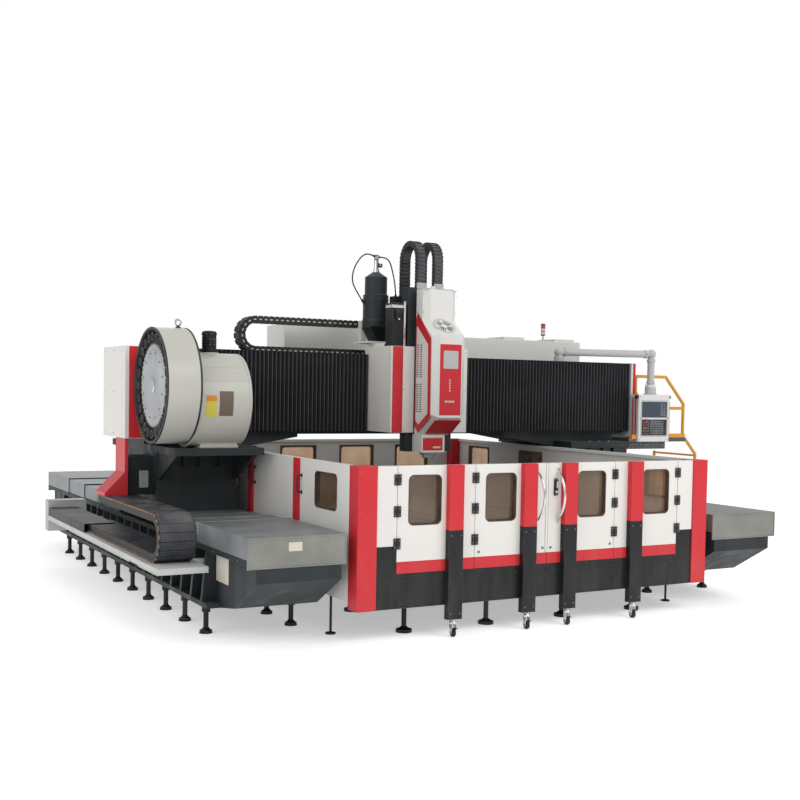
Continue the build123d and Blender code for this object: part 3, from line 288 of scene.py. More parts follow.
DUST = colour("A79F92")
BLACK = colour("15171A")
WHITE = colour("E2E0DB")
RED = colour("CB2C34")


def sheet_paint(name, tint, gloss=0.36, dust=0.25, worn=0.5, zones=()):
    """Powder-coated sheet metal: slight cloudiness, orange peel, dust low down and rubbed corners.
    zones are (height in metres, colour above it), from the lowest up."""
    finish = Finish(name)
    height = finish.axis(2)
    base = tint
    for level, above in zones:
        base = finish.mix(height > level, base, above)
    cloud = finish.noise(1.4, 5)
    fine = finish.noise(38, 3)
    soot = finish.noise(6, 6, (1, 1, 0.25))
    tone = finish.mix(cloud.between(0.3, 0.75) * 0.5 + fine * 0.2, shade([1, 1, 1], 0.9), [1, 1, 1, 1])
    base = finish.node("ShaderNodeMix", {"data_type": "RGBA", "blend_type": "MULTIPLY"},
                       {0: 1.0, 6: base, 7: tone}).outputs[2]
    low = 1 - height.between(0.15, 1.1)
    grime = low * soot.between(0.42, 0.78) * dust
    base = finish.mix(grime, base, DUST)
    rubbed = finish.edges(0.004) * fine.between(0.35, 0.6) * worn
    base = finish.mix(rubbed, base, colour("8C8A86"))
    finish.bump(finish.noise(420, 2), 0.0004, 0.35)
    return finish.set(Base_Color=base, Roughness=cloud * 0.14 + grime * 0.4 + gloss - 0.05,
                      Specular_IOR_Level=0.3)


def casting_paint(name, tint, worn=0.55):
    """Thick machine paint on cast iron, with a pebbled skin, oil films and dust on top faces."""
    finish = Finish(name)
    pebble = finish.noise(160, 5)
    cloud = finish.noise(2.2, 6)
    oil = finish.noise(5, 4, (1, 1, 0.2))
    base = finish.mix(cloud.between(0.3, 0.7), shade(tint, 0.8), shade(tint, 1.35))
    top = finish.axis(2, finish.facing).between(0.6, 0.95)
    base = finish.mix(top * cloud.between(0.35, 0.7) * 0.22, base, DUST)
    rubbed = finish.edges(0.006) * pebble.between(0.42, 0.6) * worn
    base = finish.mix(rubbed, base, colour("7D8286"))
    finish.bump(pebble * 0.7 + cloud * 2.0, 0.0016, 0.6)
    return finish.set(Base_Color=base, Roughness=0.62 - oil.between(0.45, 0.75) * 0.24,
                      Specular_IOR_Level=0.4)


def bright_steel(name, tint, rough, streaks, stains, metal):
    """Bare machined or rolled steel, with lay lines, water marks and handling stains."""
    finish = Finish(name)
    lay = finish.noise(26, 5, streaks, 0.7)
    cloud = finish.noise(2.6, 7, None, 0.62)
    rust = finish.noise(9, 6).between(0.6, 0.82)
    base = finish.mix(cloud.between(0.32, 0.72), shade(tint, 0.72), shade(tint, 1.22))
    base = finish.mix(lay.between(0.35, 0.7) * 0.35, base, shade(tint, 1.35))
    base = finish.mix(rust * stains * cloud.between(0.5, 0.75), base, colour("7C6A50"))
    finish.bump(lay, 0.0006, 0.4)
    return finish.set(Base_Color=base, Metallic=metal,
                      Roughness=cloud * 0.22 + lay * 0.16 + rough - 0.14)


def chrome_plate(name, tint=colour("D5D6D8"), rough=0.1):
    """Plated steel with hand smears and small pits."""
    finish = Finish(name)
    smear = finish.noise(22, 5)
    pits = finish.noise(240, 3).between(0.62, 0.75)
    base = finish.mix(smear.between(0.4, 0.8) * 0.35 + pits * 0.3, tint, shade(tint, 0.5))
    return finish.set(Base_Color=base, Metallic=1.0, Roughness=smear * 0.22 + pits * 0.2 + rough)


def dull_black(name, tint, rough, grain=300.0, dust=0.3):
    """Rubber or moulded plastic: fine grain, pale dust, most of it on upward faces."""
    finish = Finish(name)
    fine = finish.noise(grain, 4)
    cloud = finish.noise(7, 5)
    base = finish.mix(cloud.between(0.35, 0.75), shade(tint, 0.8), shade(tint, 1.5))
    top = finish.axis(2, finish.facing).between(0.3, 0.95)
    base = finish.mix((top * 0.6 + 0.2) * cloud.between(0.4, 0.75) * dust, base, DUST)
    # Painted highlight: every edge is made lighter, evenly all round.
    base = finish.mix(finish.edges(0.002) * 0.35, base, shade(tint, 4))
    finish.bump(fine, 0.0006, 0.5)
    return finish.set(Base_Color=base, Roughness=cloud * 0.2 + rough - 0.08, Specular_IOR_Level=0.4)


def bellows_cloth(name):
    """Coated cloth: fine woven ribs, slight sheen, powdery dust and a painted highlight along the edges of
    the folds.
    """
    finish = Finish(name)
    weave = finish.level("ShaderNodeTexWave", {"wave_type": "BANDS", "bands_direction": "DIAGONAL"},
                         {"Vector": finish.place, "Scale": 220.0, "Distortion": 0.6})
    cross = finish.noise(500, 2)
    cloud = finish.noise(3.5, 6)
    base = finish.mix(cloud.between(0.3, 0.75), colour("1D1D20"), colour("34343A"))
    # Painted highlight: every edge of the folds is made lighter, evenly all along.
    base = finish.mix(finish.edges(0.004) * 0.5, base, colour("6A6A72"))
    finish.bump(weave * 0.5 + cross * 0.5, 0.0007, 0.5)
    return finish.set(Base_Color=base, Roughness=cloud * 0.16 + 0.46, Sheen_Weight=0.15,
                      Specular_IOR_Level=0.5)


def tinted_pane(name):
    """Brown polycarbonate with faint scratches and coolant spots."""
    finish = Finish(name)
    scratch = finish.noise(60, 6, (1, 1, 7)).between(0.6, 0.8)
    film = finish.noise(5, 4)
    base = finish.mix(film.between(0.3, 0.8), colour("A98D74"), colour("C0A68C"))
    return finish.set(Base_Color=base, Roughness=scratch * 0.2 + film * 0.05 + 0.03,
                      Transmission_Weight=0.86, IOR=1.45)


def lit_glass(name, tint, glow):
    """Lamp lens or screen: moulded glass with a faint glow; on the screen, which is no lamp, the glow is
    painted light.
    """
    finish = Finish(name)
    ribs = finish.noise(90, 3, (1, 1, 6))
    cloud = finish.noise(12, 4)
    base = finish.mix(ribs.between(0.3, 0.7), shade(tint, 0.75), tint)
    light = finish.mix(cloud.between(0.3, 0.8), shade(tint, 0.6), tint)
    finish.bump(ribs, 0.0005, 0.4)
    return finish.set(Base_Color=base, Emission_Color=light, Emission_Strength=glow,
                      Roughness=cloud * 0.1 + 0.12, Coat_Weight=0.4)


def tread_plate(name, tint):
    """Painted plate with raised oval tears, worn bright where feet pass."""
    finish = Finish(name)
    slant = finish.node("ShaderNodeMapping", None, {"Vector": finish.place, "Rotation": (0, 0, 0.785),
                                                    "Scale": (1, 3, 1)}).outputs[0]
    tears = finish.level("ShaderNodeTexVoronoi", {"feature": "F1"},
                         {"Vector": slant, "Scale": 22.0, "Randomness": 0.0})
    raised = 1 - tears.between(0.18, 0.3)
    cloud = finish.noise(3, 5)
    base = finish.mix(cloud.between(0.3, 0.7), shade(tint, 0.8), shade(tint, 1.2))
    base = finish.mix(raised * cloud.between(0.3, 0.6) * 0.6, base, colour("A3A6A6"))
    finish.bump(raised, 0.002, 0.8)
    return finish.set(Base_Color=base, Metallic=raised * 0.5, Roughness=0.55 - raised * 0.15)


white = sheet_paint("white_sheet_paint", WHITE)
white_gloss = sheet_paint("white_cover_paint", colour("DFDEDA"), 0.28, 0.1, 0.35)
red = sheet_paint("red_sheet_paint", RED, 0.34, 0.12)
black_sheet = sheet_paint("black_sheet_paint", BLACK, 0.42, 0.12, 0.7)
leaf_paint = sheet_paint("door_leaf_paint", BLACK, 0.36, 0.1, 0.5, ((0.561, RED), (0.659, WHITE)))
side_panel_paint = sheet_paint("side_panel_paint", BLACK, 0.36, 0.1, 0.5, ((0.79, WHITE),))
post_paint = sheet_paint("door_post_paint", BLACK, 0.36, 0.1, 0.6, ((0.905, RED),))
drum_paint = sheet_paint("drum_paint", colour("C1C0B7"), 0.3, 0.05, 0.4)
tray_paint = sheet_paint("tray_paint", colour("C3C6C5"), 0.5, 0.6, 0.5)
pendant_grey = sheet_paint("pendant_grey_paint", colour("BBBBBD"), 0.4, 0.1, 0.4)
yellow = sheet_paint("yellow_rail_paint", colour("DB9A30"), 0.34, 0.1, 0.7)
casting = casting_paint("casting_paint", colour("1D2427"))
bottle_paint = casting_paint("bottle_paint", colour("1F2629"), 0.3)
cover_steel = bright_steel("way_cover_steel", colour("8B8F91"), 0.42, (0.6, 14, 14), 0.7, 0.6)
plate_steel = bright_steel("end_plate_steel", colour("85867F"), 0.5, (14, 14, 0.7), 0.9, 0.45)
guide_steel = bright_steel("guide_steel", colour("A8AAAB"), 0.28, (14, 14, 0.5), 0.2, 0.9)
table_steel = bright_steel("table_steel", colour("8D8F8E"), 0.34, (14, 0.6, 14), 0.3, 0.9)
disc_steel = bright_steel("disc_steel", colour("A9ACAF"), 0.45, (1, 3, 3), 0.2, 0.4)
chrome = chrome_plate("chrome_plate")
screw_steel = chrome_plate("screw_steel", colour("8E9093"), 0.28)
rubber = dull_black("rubber", colour("17181A"), 0.7)
plastic = dull_black("black_plastic", colour("202225"), 0.48, 420)
chain_plastic = dull_black("chain_plastic", colour("1B1C1E"), 0.55, 300, 0.3)
key_grey = dull_black("key_grey_plastic", colour("6E7276"), 0.45, 420, 0.1)
link_bar = dull_black("chain_bar_plastic", colour("B8763F"), 0.5, 300, 0.5)
link_cream = dull_black("chain_dash_plastic", colour("CFC3A6"), 0.5, 300, 0.3)
link_cover = dull_black("chain_cover_plastic", colour("32353C"), 0.5, 300, 0.3)
lining_brown = dull_black("window_rubber", colour("4B3D33"), 0.6, 300, 0.2)
cloth = bellows_cloth("bellows_cloth")
pane = tinted_pane("tinted_pane")
tread = tread_plate("tread_plate", colour("4A4E50"))
# The screen's glow is painted light: the screen gives no light of its own.
screen = lit_glass("screen_glass", colour("2F3B4A"), 0.25)
lamp_red = lit_glass("lamp_red_lens", colour("C23B36"), 0.1)
label_pale = sheet_paint("bare_plate_paint", colour("CFC9BC"), 0.4, 0.2, 0.2)
label_yellow = sheet_paint("yellow_plate_paint", colour("CFC24A"), 0.4, 0.1, 0.2)
label_orange = sheet_paint("orange_plate_paint", colour("D58A2C"), 0.4, 0.1, 0.2)
label_brown = sheet_paint("brown_plate_paint", colour("6E6054"), 0.45, 0.1, 0.2)

CAD_FINISHES = {
    casting: ["left_bed", "right_bed", "table_base", "left_column", "right_column", "crossbeam",
              "chain_mast", "ram_slide"],
    black_sheet: ["machine_feet", "chip_pans", "magazine_motor", "z_drive"],
    cover_steel: ["fixed_way_covers", "carriage_way_covers", "front_way_cover_1", "front_way_cover_2",
                  "rear_way_cover_1", "rear_way_cover_2"],
    plate_steel: ["cover_end_plates"],
    table_steel: ["worktable"],
    white: ["side_walls", "back_wall", "beam_end_covers", "rear_cabinet", "saddle"],
    white_gloss: ["head_cover", "spindle_box", "pendant_box"],
    red: ["corner_posts", "wall_trims", "chain_boot"],
    leaf_paint: ["outer_door_leaves", "inner_door_leaves"],
    side_panel_paint: ["front_side_panels"],
    post_paint: ["door_posts"],
    tray_paint: ["cable_tray"],
    pendant_grey: ["pendant_arm"],
    yellow: ["front_guard_rail", "rear_guard_rail", "ladder"],
    tread: ["access_platform"],
    bottle_paint: ["gas_bottle"],
    chrome: ["spindle_nose", "door_handles"],
    plastic: ["door_hinges", "signal_lamp"],
    chain_plastic: ["bed_chain", "beam_chain", "ram_chains"],
    rubber: ["door_casters", "long_hose", "short_hose"],
    cloth: ["left_bellows", "right_bellows"],
    pane: ["windows"],
    drum_paint: ["magazine_drum", "tool_disc"],
}
for finish, names in CAD_FINISHES.items():
    for name in names:
        nodes[name].data.materials.clear()
        nodes[name].data.materials.append(finish)


# Shapes, each a bmesh in the drawing's millimetres. CORNER is the least angle, in radians, of a ring's
# edge that is rounded.

CORNER = 1.2


def soften(shape, edge, segments, edges=None):
    """Rounds the given edges, or all of them, by edge millimetres. An edge of 0 leaves them sharp."""
    if edge:
        bmesh.ops.bevel(shape, geom=edges or shape.edges[:], offset=edge, offset_type="OFFSET",
                        segments=segments, profile=0.5, affect="EDGES", material=-1, clamp_overlap=True)
    return shape


def block(x0, x1, y0, y1, z0, z1, edge, segments=1):
    """Box between its limits."""
    shape = bmesh.new()
    centre = Matrix.Translation(((x0 + x1) / 2, (y0 + y1) / 2, (z0 + z1) / 2))
    size = Matrix.Diagonal((x1 - x0, y1 - y0, z1 - z0, 1))
    bmesh.ops.create_cube(shape, size=1.0, matrix=centre @ size)
    return soften(shape, edge, segments)


def disc(x, y, z, axis, radius, depth, edge, sides):
    """Cylinder that starts at a point and runs along an axis."""
    shape = bmesh.new()
    place = Matrix.Translation((x, y, z)) @ TURN_TO[axis] @ Matrix.Translation((0, 0, depth / 2))
    bmesh.ops.create_cone(shape, cap_ends=True, segments=sides, radius1=radius, radius2=radius,
                          depth=depth, matrix=place)
    rims = [e for e in shape.edges if any(len(f.verts) > 4 for f in e.link_faces)]
    return soften(shape, edge, 1, rims)


def turned(x, y, z, axis, profile, steps):
    """Lathe shape: profile is (radius, distance along the axis) from one end to the other."""
    shape = bmesh.new()
    line = [shape.verts.new((radius, 0, along)) for radius, along in profile]
    edges = [shape.edges.new(pair) for pair in zip(line, line[1:])]
    bmesh.ops.spin(shape, geom=line + edges, cent=(0, 0, 0), axis=(0, 0, 1), angle=2 * math.pi,
                   steps=steps, use_merge=True, use_duplicate=False)
    bmesh.ops.remove_doubles(shape, verts=shape.verts[:], dist=0.01)
    bmesh.ops.recalc_face_normals(shape, faces=shape.faces[:])
    bmesh.ops.transform(shape, matrix=Matrix.Translation((x, y, z)) @ TURN_TO[axis], verts=shape.verts[:])
    return shape


def in_plane(plane, u, v, depth):
    """Point from its two outline numbers and its depth."""
    return {"XZ": (u, depth, v), "YZ": (depth, u, v), "XY": (u, v, depth)}[plane]


def drawn_out(shape, faces, plane, start, end):
    """Gives flat faces at start a thickness up to end."""
    out = bmesh.ops.extrude_face_region(shape, geom=faces)["geom"]
    moved = [v for v in out if isinstance(v, bmesh.types.BMVert)]
    bmesh.ops.translate(shape, vec=in_plane(plane, 0, 0, end - start), verts=moved)
    bmesh.ops.recalc_face_normals(shape, faces=shape.faces[:])


def plate(outline, plane, start, end, edge, segments=1):
    """Flat outline in a plane, drawn out from start to end."""
    shape = bmesh.new()
    face = shape.faces.new([shape.verts.new(in_plane(plane, u, v, start)) for u, v in outline])
    drawn_out(shape, [face], plane, start, end)
    return soften(shape, edge, segments)


def ring(outer, inner, plane, start, end, edge):
    """Flat frame between two outlines of as many points."""
    shape = bmesh.new()
    edges = []
    for outline in (outer, inner):
        loop = [shape.verts.new(in_plane(plane, u, v, start)) for u, v in outline]
        edges += [shape.edges.new(pair) for pair in zip(loop, loop[1:] + loop[:1])]
    bmesh.ops.bridge_loops(shape, edges=edges)
    drawn_out(shape, shape.faces[:], plane, start, end)
    return soften(shape, edge, 1, [e for e in shape.edges if e.calc_face_angle(0) > CORNER])


def rounded(u0, u1, v0, v1, radius, steps=5):
    """Outline of a rectangle with round corners."""
    outline = []
    for u, v, turn in ((u1, v1, 0), (u0, v1, 90), (u0, v0, 180), (u1, v0, 270)):
        cu = u - radius if u == u1 else u + radius
        cv = v - radius if v == v1 else v + radius
        for i in range(steps + 1):
            angle = math.radians(turn + 90 * i / steps)
            outline.append((cu + radius * math.cos(angle), cv + radius * math.sin(angle)))
    return outline


def circle(u, v, radius, count, start=0.0):
    """Points spaced evenly round a middle, the first of them at start degrees."""
    angles = [math.radians(start + 360 * i / count) for i in range(count)]
    return [(u + radius * math.cos(a), v + radius * math.sin(a)) for a in angles]


def bent(points, radius, steps=6):
    """A line of points with its corners rounded."""
    spots = [Vector(p) for p in points]
    line = [spots[0]]
    for before, here, after in zip(spots, spots[1:], spots[2:]):
        back, on = (before - here).normalized(), (after - here).normalized()
        start, end = here + back * radius, here + on * radius
        for i in range(steps + 1):
            t = i / steps
            line.append(start * (1 - t) ** 2 + here * 2 * t * (1 - t) + end * t ** 2)
    return line + [spots[-1]]


def bar(points, radius, sides=10):
    """Round bar along a line of points."""
    shape = bmesh.new()
    spots = [Vector(p) for p in points]
    rings = []
    side = None
    for i, spot in enumerate(spots):
        way = (spots[min(i + 1, len(spots) - 1)] - spots[max(i - 1, 0)]).normalized()
        if side is None:
            side = way.orthogonal().normalized()
        side = (side - way * side.dot(way)).normalized()
        place = Matrix((side, way.cross(side), way)).transposed().to_4x4()
        made = bmesh.ops.create_circle(shape, segments=sides, radius=radius,
                                       matrix=Matrix.Translation(spot) @ place,
                                       cap_ends=i in (0, len(spots) - 1))
        rings.append(made["verts"])
    for low, high in zip(rings, rings[1:]):
        for k in range(sides):
            j = (k + 1) % sides
            shape.faces.new((low[k], low[j], high[j], high[k]))
    bmesh.ops.recalc_face_normals(shape, faces=shape.faces[:])
    return shape


def moved(x, y=0.0, z=0.0):
    return Matrix.Translation((x, y, z))


class Piece:
    """One visible piece, gathered from shapes."""

    def __init__(self, name, body, slot, finish):
        self.name = name
        self.body = body
        self.slot = slot
        self.finishes = [finish]
        self.bm = bmesh.new()

    def add(self, shape, finish=None, places=(Matrix(),)):
        """Sets a shape down at each place, in a finish of its own or in the piece's first one."""
        finish = finish or self.finishes[0]
        if finish not in self.finishes:
            self.finishes.append(finish)
        for face in shape.faces:
            face.material_index = self.finishes.index(finish)
        mesh = bpy.data.meshes.new(self.name)
        shape.to_mesh(mesh)
        shape.free()
        for place in places:
            copy = mesh.copy()
            copy.transform(place)
            if place.determinant() < 0:
                copy.flip_normals()
            self.bm.from_mesh(copy)
            bpy.data.meshes.remove(copy)
        bpy.data.meshes.remove(mesh)

    def pair(self, shape, finish=None):
        """Sets a shape down on the right and its mirror image on the left."""
        self.add(shape, finish, PAIR)

    def heads(self, spots, head, places):
        """A head at each spot, and again at each place."""
        self.add(head, screw_steel, [place @ moved(*spot) for place in places for spot in spots])

    def screws(self, spots, axis, radius, height, places=(Matrix(),)):
        """Screw heads: each spot is the point where a head sits."""
        self.heads(spots, disc(0, 0, 0, axis, radius, height, radius * 0.25, 8), places)

    def bolts(self, spots, axis, radius, height, edge=1.5, places=(Matrix(),)):
        """Hexagon heads, placed as screws are."""
        self.heads(spots, disc(0, 0, 0, axis, radius, height, edge, 6), places)

    def done(self, replaces=(), between=None, smooth=35):
        """Makes the object. between is (body, body, start, end) for a piece that crosses a joint."""
        self.bm.transform(TO_FRAME)
        mesh = bpy.data.meshes.new(self.name)
        self.bm.to_mesh(mesh)
        self.bm.free()
        for finish in self.finishes:
            mesh.materials.append(finish)
        mesh.shade_smooth()
        mesh.set_sharp_from_angle(angle=math.radians(smooth))
        piece = placed(self.name, mesh)
        if between:
            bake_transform(piece)
        else:
            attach(piece, self.body)
        if replaces:
            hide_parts(*replaces)


def screw_heights(limits):
    """Rows of screws near both ends of a height and in its middle."""
    low, high = limits
    return low + 40, (low + high) / 2, high - 40


# Hoses

LONG_HOSE = [(-38, 0, -8), (-109, 0, 15), (-184, -8, -28), (-250, -16, -114),
             (-290, -20, -214), (-287, -16, -305), (-234, -6, -392), (-167, 0, -478)]
SHORT_HOSE = [(38, -12, -20), (94, -32, -22), (134, -55, -65), (146, -85, -155),
              (147, -130, -255), (140, -170, -345), (130, -200, -422)]


def hose(name, offsets, stand_for):
    """Rubber hose on the part's own route, given from the top of the valve."""
    route = [at(BOTTLE[0] + x, BOTTLE[1] + y, VALVE_TOP + z) for x, y, z in offsets]
    data = bpy.data.curves.new(name, "CURVE")
    data.dimensions = "3D"
    data.bevel_depth = HOSE_D / 2
    data.bevel_resolution = 4
    data.use_fill_caps = True
    data.materials.append(rubber)
    spline = data.splines.new("NURBS")
    spline.points.add(len(route) - 1)
    for point, spot in zip(spline.points, route):
        point.co = (*spot, 1)
    spline.order_u = 3
    spline.use_endpoint_u = True
    spline.resolution_u = 16
    piece = placed(name, data)
    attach(piece, "saddle")
    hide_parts(stand_for)


hose("long_hose_tube", LONG_HOSE, "long_hose")
hose("short_hose_tube", SHORT_HOSE, "short_hose")


# Enclosure

def lining(u0, u1, v0, v1, radius, plane, start, end):
    """Rubber lining of a window opening, with a thin lip round it."""
    return ring(rounded(u0 - 3, u1 + 3, v0 - 3, v1 + 3, radius + 3),
                rounded(u0 + 6, u1 - 6, v0 + 6, v1 - 6, radius - 6), plane, start, end, 1)


def window_linings():
    """Linings of all the windows, with clamp screws inside the door leaves."""
    piece = Piece("window_linings", "base", "rubber", lining_brown)
    for offset in (0, LEAF_W):
        x = offset + WIN_OFFSET
        limits = (x - WIN_W / 2, x + WIN_W / 2, *WIN_Z, WIN_R)
        side = WIN_W / 2 + 20
        piece.pair(lining(*limits, "XZ", -3, PANEL_T + 8))
        spots = [(x + u, PANEL_T + 2, z) for u in (-side, side) for z in (990, 1165, 1340)]
        piece.screws(spots, "Y", 6, 5, PAIR)
    half = SIDE_WIN_W / 2
    for y in SIDE_WINDOWS:
        limits = (y - half, y + half, *SIDE_WIN_Z, WIN_R)
        piece.pair(lining(*limits, "YZ", ENC_HALF - PANEL_T - 8, ENC_HALF + 3))
    for x in BACK_WINDOWS:
        limits = (x - half, x + half, *SIDE_WIN_Z, WIN_R)
        piece.add(lining(*limits, "XZ", ENC_DEPTH - PANEL_T - 8, ENC_DEPTH + 3))
    piece.done()


def door_trim():
    """Red foot band, folded apron seam, meeting strip and quarter-turn locks of the leaves."""
    piece = Piece("door_trim", "base", "red", red)
    for x0 in (0, LEAF_W):
        x1 = x0 + LEAF_W
        piece.pair(block(x0 + 4, x1 - 4, -3, 1, *BAND_Z, 1.5))
        piece.pair(block(x0 + 8, x1 - 8, -4, 1, *SEAM_Z, 1.5), black_sheet)
        piece.pair(block(x0 + 8, x1 - 8, -6, 1, APRON_BOTTOM, APRON_BOTTOM + 14, 2), black_sheet)
        piece.pair(block(x0 + 6, x1 - 6, PANEL_T - 2, PANEL_T + 14, 300, 316, 2), black_sheet)
        piece.pair(block(x0 - 3, x0 + 3, 4, 30, 300, TRIM_TOP, 1), rubber)
    cup = [(0, 0), (5, 0), (11, 2), (13, 7), (13, 8), (0, 8)]
    for x in (-42, -712, 42, 712):
        piece.add(turned(x, -7, LOCK_Z, "Y", cup, 16), screw_steel)
        piece.add(block(x - 6, x + 6, -8.5, -6.5, LOCK_Z - 1.5, LOCK_Z + 1.5, 0.4), rubber)
    piece.add(block(-20, 13, -7, 1, WHITE_FROM, TRIM_TOP, 2), white)
    piece.add(block(1.5, 3, -8, -6, WHITE_FROM, TRIM_TOP, 0), rubber)
    piece.pair(block(DOOR_HALF + 8, ENC_HALF - 181, -4, 1, *SEAM_Z, 1.5), black_sheet)
    piece.pair(block(DOOR_HALF + 4, ENC_HALF - 179, -3, 1, 792, TRIM_TOP, 1.5), white)
    piece.done()


def hinges():
    """Hinges with two plates and three knuckles each."""
    piece = Piece("leaf_hinges", "base", "dark", plastic)
    for x in (LEAF_W, DOOR_HALF):
        for z in (810, 1075, 1336):
            for x0, x1 in ((x - 33, x - 3), (x + 3, x + 33)):
                piece.pair(block(x0, x1, -11, 0, z - 45, z + 45, 3, 2))
            for low, high in ((-45, -17), (-15.5, 15.5), (17, 45)):
                piece.pair(disc(x, -11, z + low, "Z", 9, high - low, 1.5, 16))
            spots = [(x + u, -13, z + v) for u in (-19, 19) for v in (-28, 28)]
            piece.screws(spots, "Y", 5.5, 3, PAIR)
    piece.done(["door_hinges"])


def handles_and_lock():
    """Feet of the bow handles and the lock's plate, lever and key hole, and the side walls' handles."""
    piece = Piece("handle_feet_and_lock", "base", "dark", plastic)
    foot = [(0, 0), (13, 0), (15, 2), (15, 6), (0, 6)]
    for z in (930, 1390):
        piece.pair(turned(108, -6, z, "Y", foot, 24), chrome)
    x = 85
    piece.add(plate(rounded(x - 19, x + 19, 1160, 1312, 9), "XZ", -14, 0, 2, 2))
    piece.add(turned(x, -22, 1195, "Y", [(0, 0), (9, 0), (12, 3), (12, 10), (0, 10)], 24), chrome)
    piece.add(block(x - 1, x + 1, -23, -21, 1189, 1201, 0.3), rubber)
    piece.add(plate(rounded(x - 9, x + 9, 1222, 1296, 8), "XZ", -24, -13, 2, 2))
    piece.add(block(x - 6, x + 6, -27, -22, 1230, 1288, 2), chrome)
    for z in (1168, 1304):
        piece.add(disc(x, -16, z, "Y", 4.5, 3, 1, 8), chrome)
    piece.done()
    grips = Piece("side_wall_handles", "base", "dark", plastic)
    low, high = 1150, 1300
    near, far = ENC_HALF - 4, ENC_HALF + 44
    for y in (1100, 2210, 3320):
        line = bent([(near, y, low), (far, y, low), (far, y, high), (near, y, high)], 16)
        grips.pair(bar(line, 8))
        for z in (low, high):
            grips.pair(disc(ENC_HALF - 1, y, z, "X", 17, 7, 2, 20))
    for y in (1190, 2300, 3410):
        spots = [(ENC_HALF + 21, y + v, z) for v in (-40, 40) for z in (890, 1150, 1410)]
        grips.screws(spots, "X", 6, 4, PAIR)
    grips.done()


def casters():
    """Swivel casters: plate, race, pressed fork, tyre on its hub, brake pedal."""
    piece = Piece("swivel_casters", "base", "chrome", chrome)
    y = -POST_D / 2
    tyre = [(13, -15), (30, -14), (36, -11), (38, -5), (38, 5), (36, 11), (30, 14), (13, 15)]
    hub = [(0, -17), (8, -17), (14, -13), (26, -12), (26, 12), (14, 13), (8, 17), (0, 17)]
    race = [(0, 0), (26, 0), (31, 8), (31, 20), (25, 28), (18, 37), (0, 37)]
    cheek = [(y - 24, 112), (y + 24, 112), (y + 20, 84), (y + 8, 26), (y - 8, 26), (y - 22, 70)]
    for offset in (0, LEAF_W):
        x = offset + POST_OFFSET
        piece.pair(block(x - 36, x + 36, y - 29, y + 29, 145, POST_BOTTOM, 2))
        piece.pair(turned(x, y, 108, "Z", race, 28))
        piece.pair(turned(x, y, WHEEL_R, "X", tyre + tyre[:1], 32), rubber)
        piece.pair(turned(x, y, WHEEL_R, "X", hub, 32))
        for x0 in (x - 23, x + 19):
            piece.pair(plate(cheek, "YZ", x0, x0 + 4, 1.5))
        piece.pair(block(x - 23, x + 23, y - 24, y + 24, 106, 112, 2))
        piece.bolts([(x0, y, WHEEL_R) for x0 in (x - 29, x + 23)], "X", 9, 6, places=PAIR)
        piece.pair(block(x - 13, x + 13, y - 62, y - 18, 76, 82, 2.5), plastic)
        piece.screws([(x + u, y + v, 142) for u in (-28, 28) for v in (-21, 21)], "Z", 5, 4, PAIR)
    piece.done(["door_casters"])


def post_details():
    """Joint lines, end caps and bolts of the posts."""
    piece = Piece("post_caps_and_bolts", "base", "red", red)
    caps = ((POST_BOTTOM, POST_BOTTOM + 10, black_sheet), (ENC_TOP - 6, ENC_TOP + 2, red))
    for offset in (0, LEAF_W):
        x = offset + POST_OFFSET
        piece.pair(block(x - 69, x + 69, -POST_D - 1.5, 0, 899, 905, 1), black_sheet)
        for z0, z1, finish in caps:
            piece.pair(block(x - 71, x + 71, -POST_D - 2, 2, z0, z1, 2), finish)
        piece.screws([(x + u, -POST_D - 3, z) for u in (-45, 45) for z in (200, 860)], "Y", 6, 4, PAIR)
    for z0, z1 in ((ENC_TOP - 6, ENC_TOP + 2), (APRON_BOTTOM, APRON_BOTTOM + 8)):
        piece.pair(block(ENC_HALF - 177, ENC_HALF + 2, -16, 150, z0, z1, 2))
    piece.screws([(ENC_HALF - 30, -17, z) for z in (330, 700, 1080, 1400)], "Y", 5, 3, PAIR)
    piece.done()


# Table and beds

def slotted_table():
    """Table plate with T-slots along the machine and chip gutters."""
    piece = Piece("slotted_table", "base", "steel", table_steel)
    half_width, top, low = 1250, 780, 560
    front, back = 400, 4300
    slots, slot_pitch = 9, 275
    outline = [(-half_width, low), (-half_width, top)]
    for i in range(slots):
        x = (i - slots // 2) * slot_pitch
        half = [(-14, top), (-14, top - 30), (-24, top - 30), (-24, top - 50)]
        outline += [(x + u, v) for u, v in half] + [(x - u, v) for u, v in half[::-1]]
    outline += [(half_width, top), (half_width, low)]
    piece.add(plate(outline, "XZ", front, back, 1.5))
    for y in (front, back):
        piece.add(block(10 - half_width, half_width - 10, y - 6, y + 6, low + 20, low + 60, 2))
    edge = half_width - 25
    spots = [(x, front + 180 + 390 * i, top - 3) for x in (-edge, edge) for i in range(10)]
    piece.screws(spots, "Z", 14, 3.5)
    piece.done(["worktable"])


